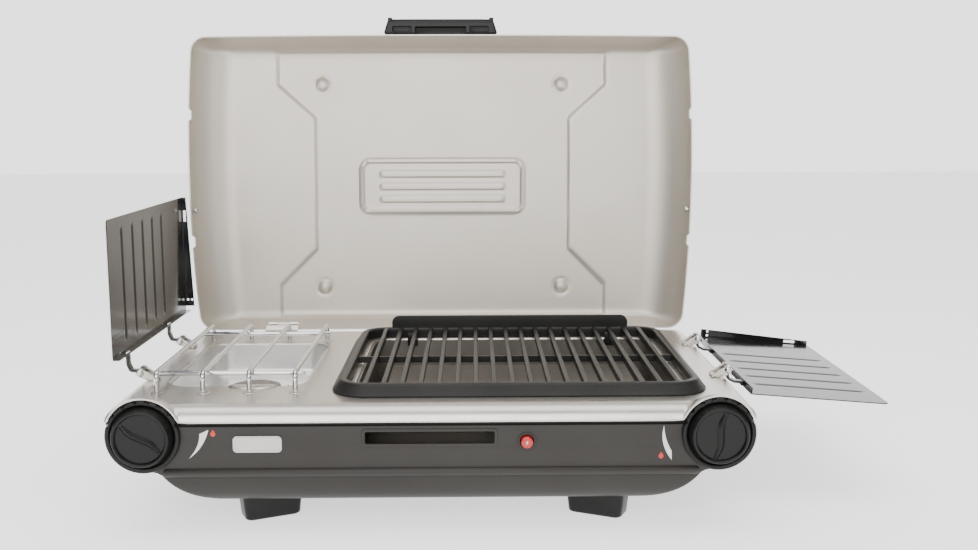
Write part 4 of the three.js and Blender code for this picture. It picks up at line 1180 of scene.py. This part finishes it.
def to_screen(obj, name, side):
    """Takes a piece drawn upright about the pivot, with X outwards, to where the screen stands."""
    lean = LEAN[name]

    def place(out, y, up):
        x = out * math.cos(lean) + up * math.sin(lean)
        z = -out * math.sin(lean) + up * math.cos(lean)
        return side * (SCREEN_PIVOT[0] + x), y, SCREEN_PIVOT[1] + z

    transform(obj, place)
    if side < 0:
        obj.data.flip_normals()
    return obj


def screen_panel():
    """The pressed sheet with five long ribs, and its folded edges."""
    fx = fractions([(SCREEN_FRONT, 1.6), (SCREEN_BACK, 1)])
    fy = fractions([(SCREEN_FOOT, 2.8), (SCREEN_TOP, 1)])
    y, up, _ = ring_points(SCREEN_FRONT, SCREEN_FOOT, SCREEN_BACK, SCREEN_TOP, (4.0, 5.0), fx, fy)
    points, faces = dished_sheet("panel", fx, fy, [(y, up, np.zeros_like(y))])
    points = np.array(points)
    y, up = points[:, 0], points[:, 1]
    out = np.zeros_like(y)
    for at in (-58, -21, 16, 53, 90):
        groove = box_distance(y, up, at, (SCREEN_FOOT + SCREEN_TOP) / 2 + 1, 2.4,
                              (SCREEN_TOP - SCREEN_FOOT) / 2 - 13, 2.4)
        out += 1.0 * smoothstep((1.2 - groove) / 2.4)
    sheet = mesh_object("panel", np.stack([out + SCREEN_OUT + SCREEN_SHEET, y, up], axis=1), faces, 50)
    towards = -1.0 if sheet.data.polygons[0].normal.x > 0 else 1.0
    thicken(sheet, SCREEN_SHEET, towards)
    inner, outer = SCREEN_OUT, SCREEN_OUT + SCREEN_SHEET
    slot = rounded_rect(inner - 4.4, SCREEN_TOP - 30, inner - 1.2, SCREEN_TOP - 16, 0.8, 3)
    edge = [(inner - FLANGE_AT_FOOT, SCREEN_FOOT + 6), (outer, SCREEN_FOOT + 6), (outer, SCREEN_TOP),
            (inner - FLANGE_AT_TOP, SCREEN_TOP)]
    holes = [disc(inner - x, SCREEN_FOOT + 14, 1.5, 16) for x in FLANGE_HOLES]
    flange = plate("flange", [edge, slot, *holes], "y", SCREEN_BACK - SCREEN_SHEET, SCREEN_BACK, 0.35)
    strip = rounded_rect(inner - 6, SCREEN_FRONT, outer, SCREEN_BACK, 1.2, 3)
    foot = plate("foot", [strip], "z", SCREEN_FOOT, SCREEN_FOOT + SCREEN_SHEET, 0.35)
    roll = tube("roll", [(outer - 0.6, SCREEN_FRONT + 3, SCREEN_FOOT + 0.6),
                         (outer - 0.6, SCREEN_BACK - 0.6, SCREEN_FOOT + 0.6)], 0, 0.6, 10)
    return [sheet, flange, foot, roll]


def arm_parts(y):
    """A bent strap from the pivot to the screen, with a rolled knuckle."""
    top = SCREEN_FOOT - 0.2 - ARM_SHEET / 2
    corners = [(3.4, 0, 0.4), (10.4, 0, 1.2), (ARM_OUT, 0, 8), (ARM_OUT, 0, top), (SCREEN_OUT, 0, top)]
    course = route(corners, 1.6, 6)
    left, right = [], []
    for i, place in enumerate(course):
        heading = (course[min(i + 1, len(course) - 1)] - course[max(i - 1, 0)]).normalized()
        across = Vector((-heading.z, 0, heading.x)) * (ARM_SHEET / 2)
        left.append(((place + across).x, (place + across).z))
        right.append(((place - across).x, (place - across).z))
    strap = plate("strap", [left + right[::-1]], "y", y - 5, y + 5, 0.4)
    ring = [(2.9, -5), (4.0, -5), (4.4, -4.6), (4.4, 4.6), (4.0, 5), (2.9, 5)]
    rings = [[(r * math.cos(2 * math.pi * k / 28), y + a,
               r * math.sin(2 * math.pi * k / 28)) for k in range(28)]
             for r, a in ring + ring[:1]]
    knuckle = ring_skin("knuckle", rings, False, False)
    return [strap, knuckle]


def rivet(out, y, up):
    profile = [(0, 0), (2.4, 0), (2.3, 0.5), (1.8, 1.0), (1.0, 1.3), (0, 1.4)]
    head = turned("rivet", profile, (0, 0, 0), "z", 24)
    return transform(head, lambda a, b, c: (out + a, y + b, up + c))


def windscreens():
    for name, side in SIDES:
        body = f"{name}_screen"
        panel = to_screen(join(f"windscreen_{name}", screen_panel()), name, side)
        settle(panel, body, "black_enamel", [f"screen_{name}"])
        for row, y in zip(("front", "rear"), SCREEN_ARMS):
            arm = to_screen(join(f"screen_arm_{name}_{row}", arm_parts(y)), name, side)
            settle(arm, body, "black_enamel", [f"arm_{name}_{row}"])
            heads = [rivet(SCREEN_OUT - 3.0, y + shift, SCREEN_FOOT + SCREEN_SHEET) for shift in (-2.6, 2.6)]
            studs = to_screen(join(f"arm_rivets_{name}_{row}", heads), name, side)
            settle(studs, body, "chrome_wire")


def bolt_face(u, v):
    """A domed screw head with a cross recess."""
    r = math.hypot(u, v)
    dome = 3.2 * math.sqrt(max(1 - (r / 4.6) ** 2, 0.0))
    arm = min(abs(u), abs(v))
    cross = float(smoothstep((0.75 - arm) / 0.35)) * float(smoothstep((2.6 - r) / 0.5))
    return dome - 1.1 * cross


def brackets():
    pivot_x, pivot_z = SCREEN_PIVOT
    for name, side in SIDES:
        for row, y in zip(("front", "rear"), SCREEN_ARMS):
            low = DECK_Z + 0.3
            inboard, edge = sorted((side * (pivot_x - 17), side * (pivot_x - 11)))
            foot = plate("foot", [rounded_rect(inboard, y - 8.4, edge, y + 8.4, 1.5, 4)], "z", low, low + 2,
                         0.4)
            parts = [foot]
            ear_arc = arc(0, 8.2, 4.6, -20, 150, 14)
            cheek = [(-17, 0), (-9, 0), (-1, 2.6)] + [(x, z) for x, z in ear_arc] + [(-10, 7.0), (-17, 2.0)]
            cheek_loop = [(side * (pivot_x + x), low + z) for x, z in cheek]
            hole = disc(side * pivot_x, pivot_z, 2.8, 20)
            for a, b in ((y - 8.4, y - 5.4), (y + 5.4, y + 8.4)):
                parts.append(plate("ear", [cheek_loop, hole], "y", a, b, 0.5))
            settle(join(f"clevis_{name}_{row}", parts), "base", "deck_steel",
                   [f"screen_bracket_{name}_{row}"])
            centre = (side * pivot_x, y, pivot_z)
            head = polar_face("head", (centre[0], y - 8.7, centre[2]), "-y", 4.4, bolt_face, 20, 48, -0.1)
            shank = turned("shank", [(0, -8.9), (2.5, -8.9), (2.5, 11.4), (2.1, 12.0), (0, 12.0)], centre,
                           "y", 24)
            nut_loop = [(centre[0] + 4.2 * math.cos(math.radians(60 * k)),
                         centre[2] + 4.2 * math.sin(math.radians(60 * k)))
                        for k in range(6)]
            nut = plate("nut", [nut_loop], "y", y + 8.7, y + 11.4, 0.4)
            settle(join(f"pivot_bolt_{name}_{row}", [head, shank, nut]), "base", "chrome_wire",
                   [f"screen_bolt_{name}_{row}"])


windscreens()
brackets()


# ------------------------------------------------------------------ CAD parts that keep their shape
SLOT_OF = {part["node"]: part["material_slot"] for part in frame["record"]["subparts"]}
for node, obj in frame["nodes"].items():
    if obj.hide_render:
        continue
    obj.data.materials.clear()
    obj.data.materials.append(FINISH[SLOT_OF[node]])


# ------------------------------------------------------------------ floor, light and camera
def stage_and_light():
    size = 6000
    floor = mesh_object("floor", [(-size, -size, FLOOR_Z), (size, -size, FLOOR_Z), (size, size, FLOOR_Z),
                                  (-size, size, FLOOR_Z)], [(0, 1, 2, 3)])
    paper, _, _, shader = node_material("pale_floor")
    shader.inputs["Base Color"].default_value = (0.9, 0.9, 0.9, 1)
    shader.inputs["Roughness"].default_value = 0.8
    shader.inputs["Emission Color"].default_value = (1, 1, 1, 1)
    shader.inputs["Emission Strength"].default_value = 1.2
    floor.data.materials.append(paper)

    world = bpy.data.worlds.new("studio")
    world.use_nodes = True
    nodes, links = world.node_tree.nodes, world.node_tree.links
    background = nodes["Background"]
    background.inputs["Strength"].default_value = 1.0
    place = nodes.new("ShaderNodeTexCoord")
    split = nodes.new("ShaderNodeSeparateXYZ")
    links.new(place.outputs["Generated"], split.inputs["Vector"])
    backwards = nodes.new("ShaderNodeMapRange")
    backwards.interpolation_type = "SMOOTHSTEP"
    backwards.inputs["From Min"].default_value = 0.45
    backwards.inputs["From Max"].default_value = 0.85
    backwards.inputs["To Min"].default_value = 0.2
    backwards.inputs["To Max"].default_value = 2.4
    links.new(split.outputs["Y"], backwards.inputs["Value"])
    overhead = nodes.new("ShaderNodeMapRange")
    overhead.interpolation_type = "SMOOTHSTEP"
    overhead.inputs["From Min"].default_value = 0.45
    overhead.inputs["From Max"].default_value = 0.9
    overhead.inputs["To Min"].default_value = 0.0
    overhead.inputs["To Max"].default_value = 1.0
    links.new(split.outputs["Z"], overhead.inputs["Value"])
    larger = nodes.new("ShaderNodeMath")
    larger.operation = "MAXIMUM"
    links.new(backwards.outputs["Result"], larger.inputs[0])
    links.new(overhead.outputs["Result"], larger.inputs[1])
    links.new(larger.outputs["Value"], background.inputs["Color"])
    bpy.context.scene.world = world

    def softbox(name, place, aim, size_x, size_y, power):
        light = bpy.data.lights.new(name, "AREA")
        light.shape = "RECTANGLE"
        light.size = size_x
        light.size_y = size_y
        light.energy = power
        holder = bpy.data.objects.new(name, light)
        bpy.context.scene.collection.objects.link(holder)
        holder.location = place
        holder.rotation_euler = (Vector(aim) - Vector(place)).to_track_quat("-Z", "Y").to_euler()

    softbox("top_box", (0.0, -0.3, 1.9), (0, 0.0, 0.1), 2.0, 1.2, 16)
    softbox("front_box", (-0.3, -2.6, 1.3), (0, 0, 0.2), 2.6, 1.6, 62)
    softbox("right_box", (1.9, -1.2, 1.0), (0, 0, 0.15), 0.9, 0.9, 8)


def camera():
    data = bpy.data.cameras.new("camera")
    data.lens = 41.40
    data.sensor_width = 36.0
    data.sensor_fit = "HORIZONTAL"
    data.clip_start = 0.05
    data.clip_end = 50
    holder = bpy.data.objects.new("camera", data)
    bpy.context.scene.collection.objects.link(holder)
    yaw, pitch, roll = 0.0137, 0.1458, -0.0023
    level = Matrix.Rotation(-yaw, 4, "Z")
    turn = level @ Matrix.Rotation(math.pi / 2 - pitch, 4, "X") @ Matrix.Rotation(roll, 4, "Z")
    holder.matrix_world = Matrix.Translation((0.0401, -1.2056, 0.3725)) @ turn
    bpy.context.scene.camera = holder


stage_and_light()
camera()

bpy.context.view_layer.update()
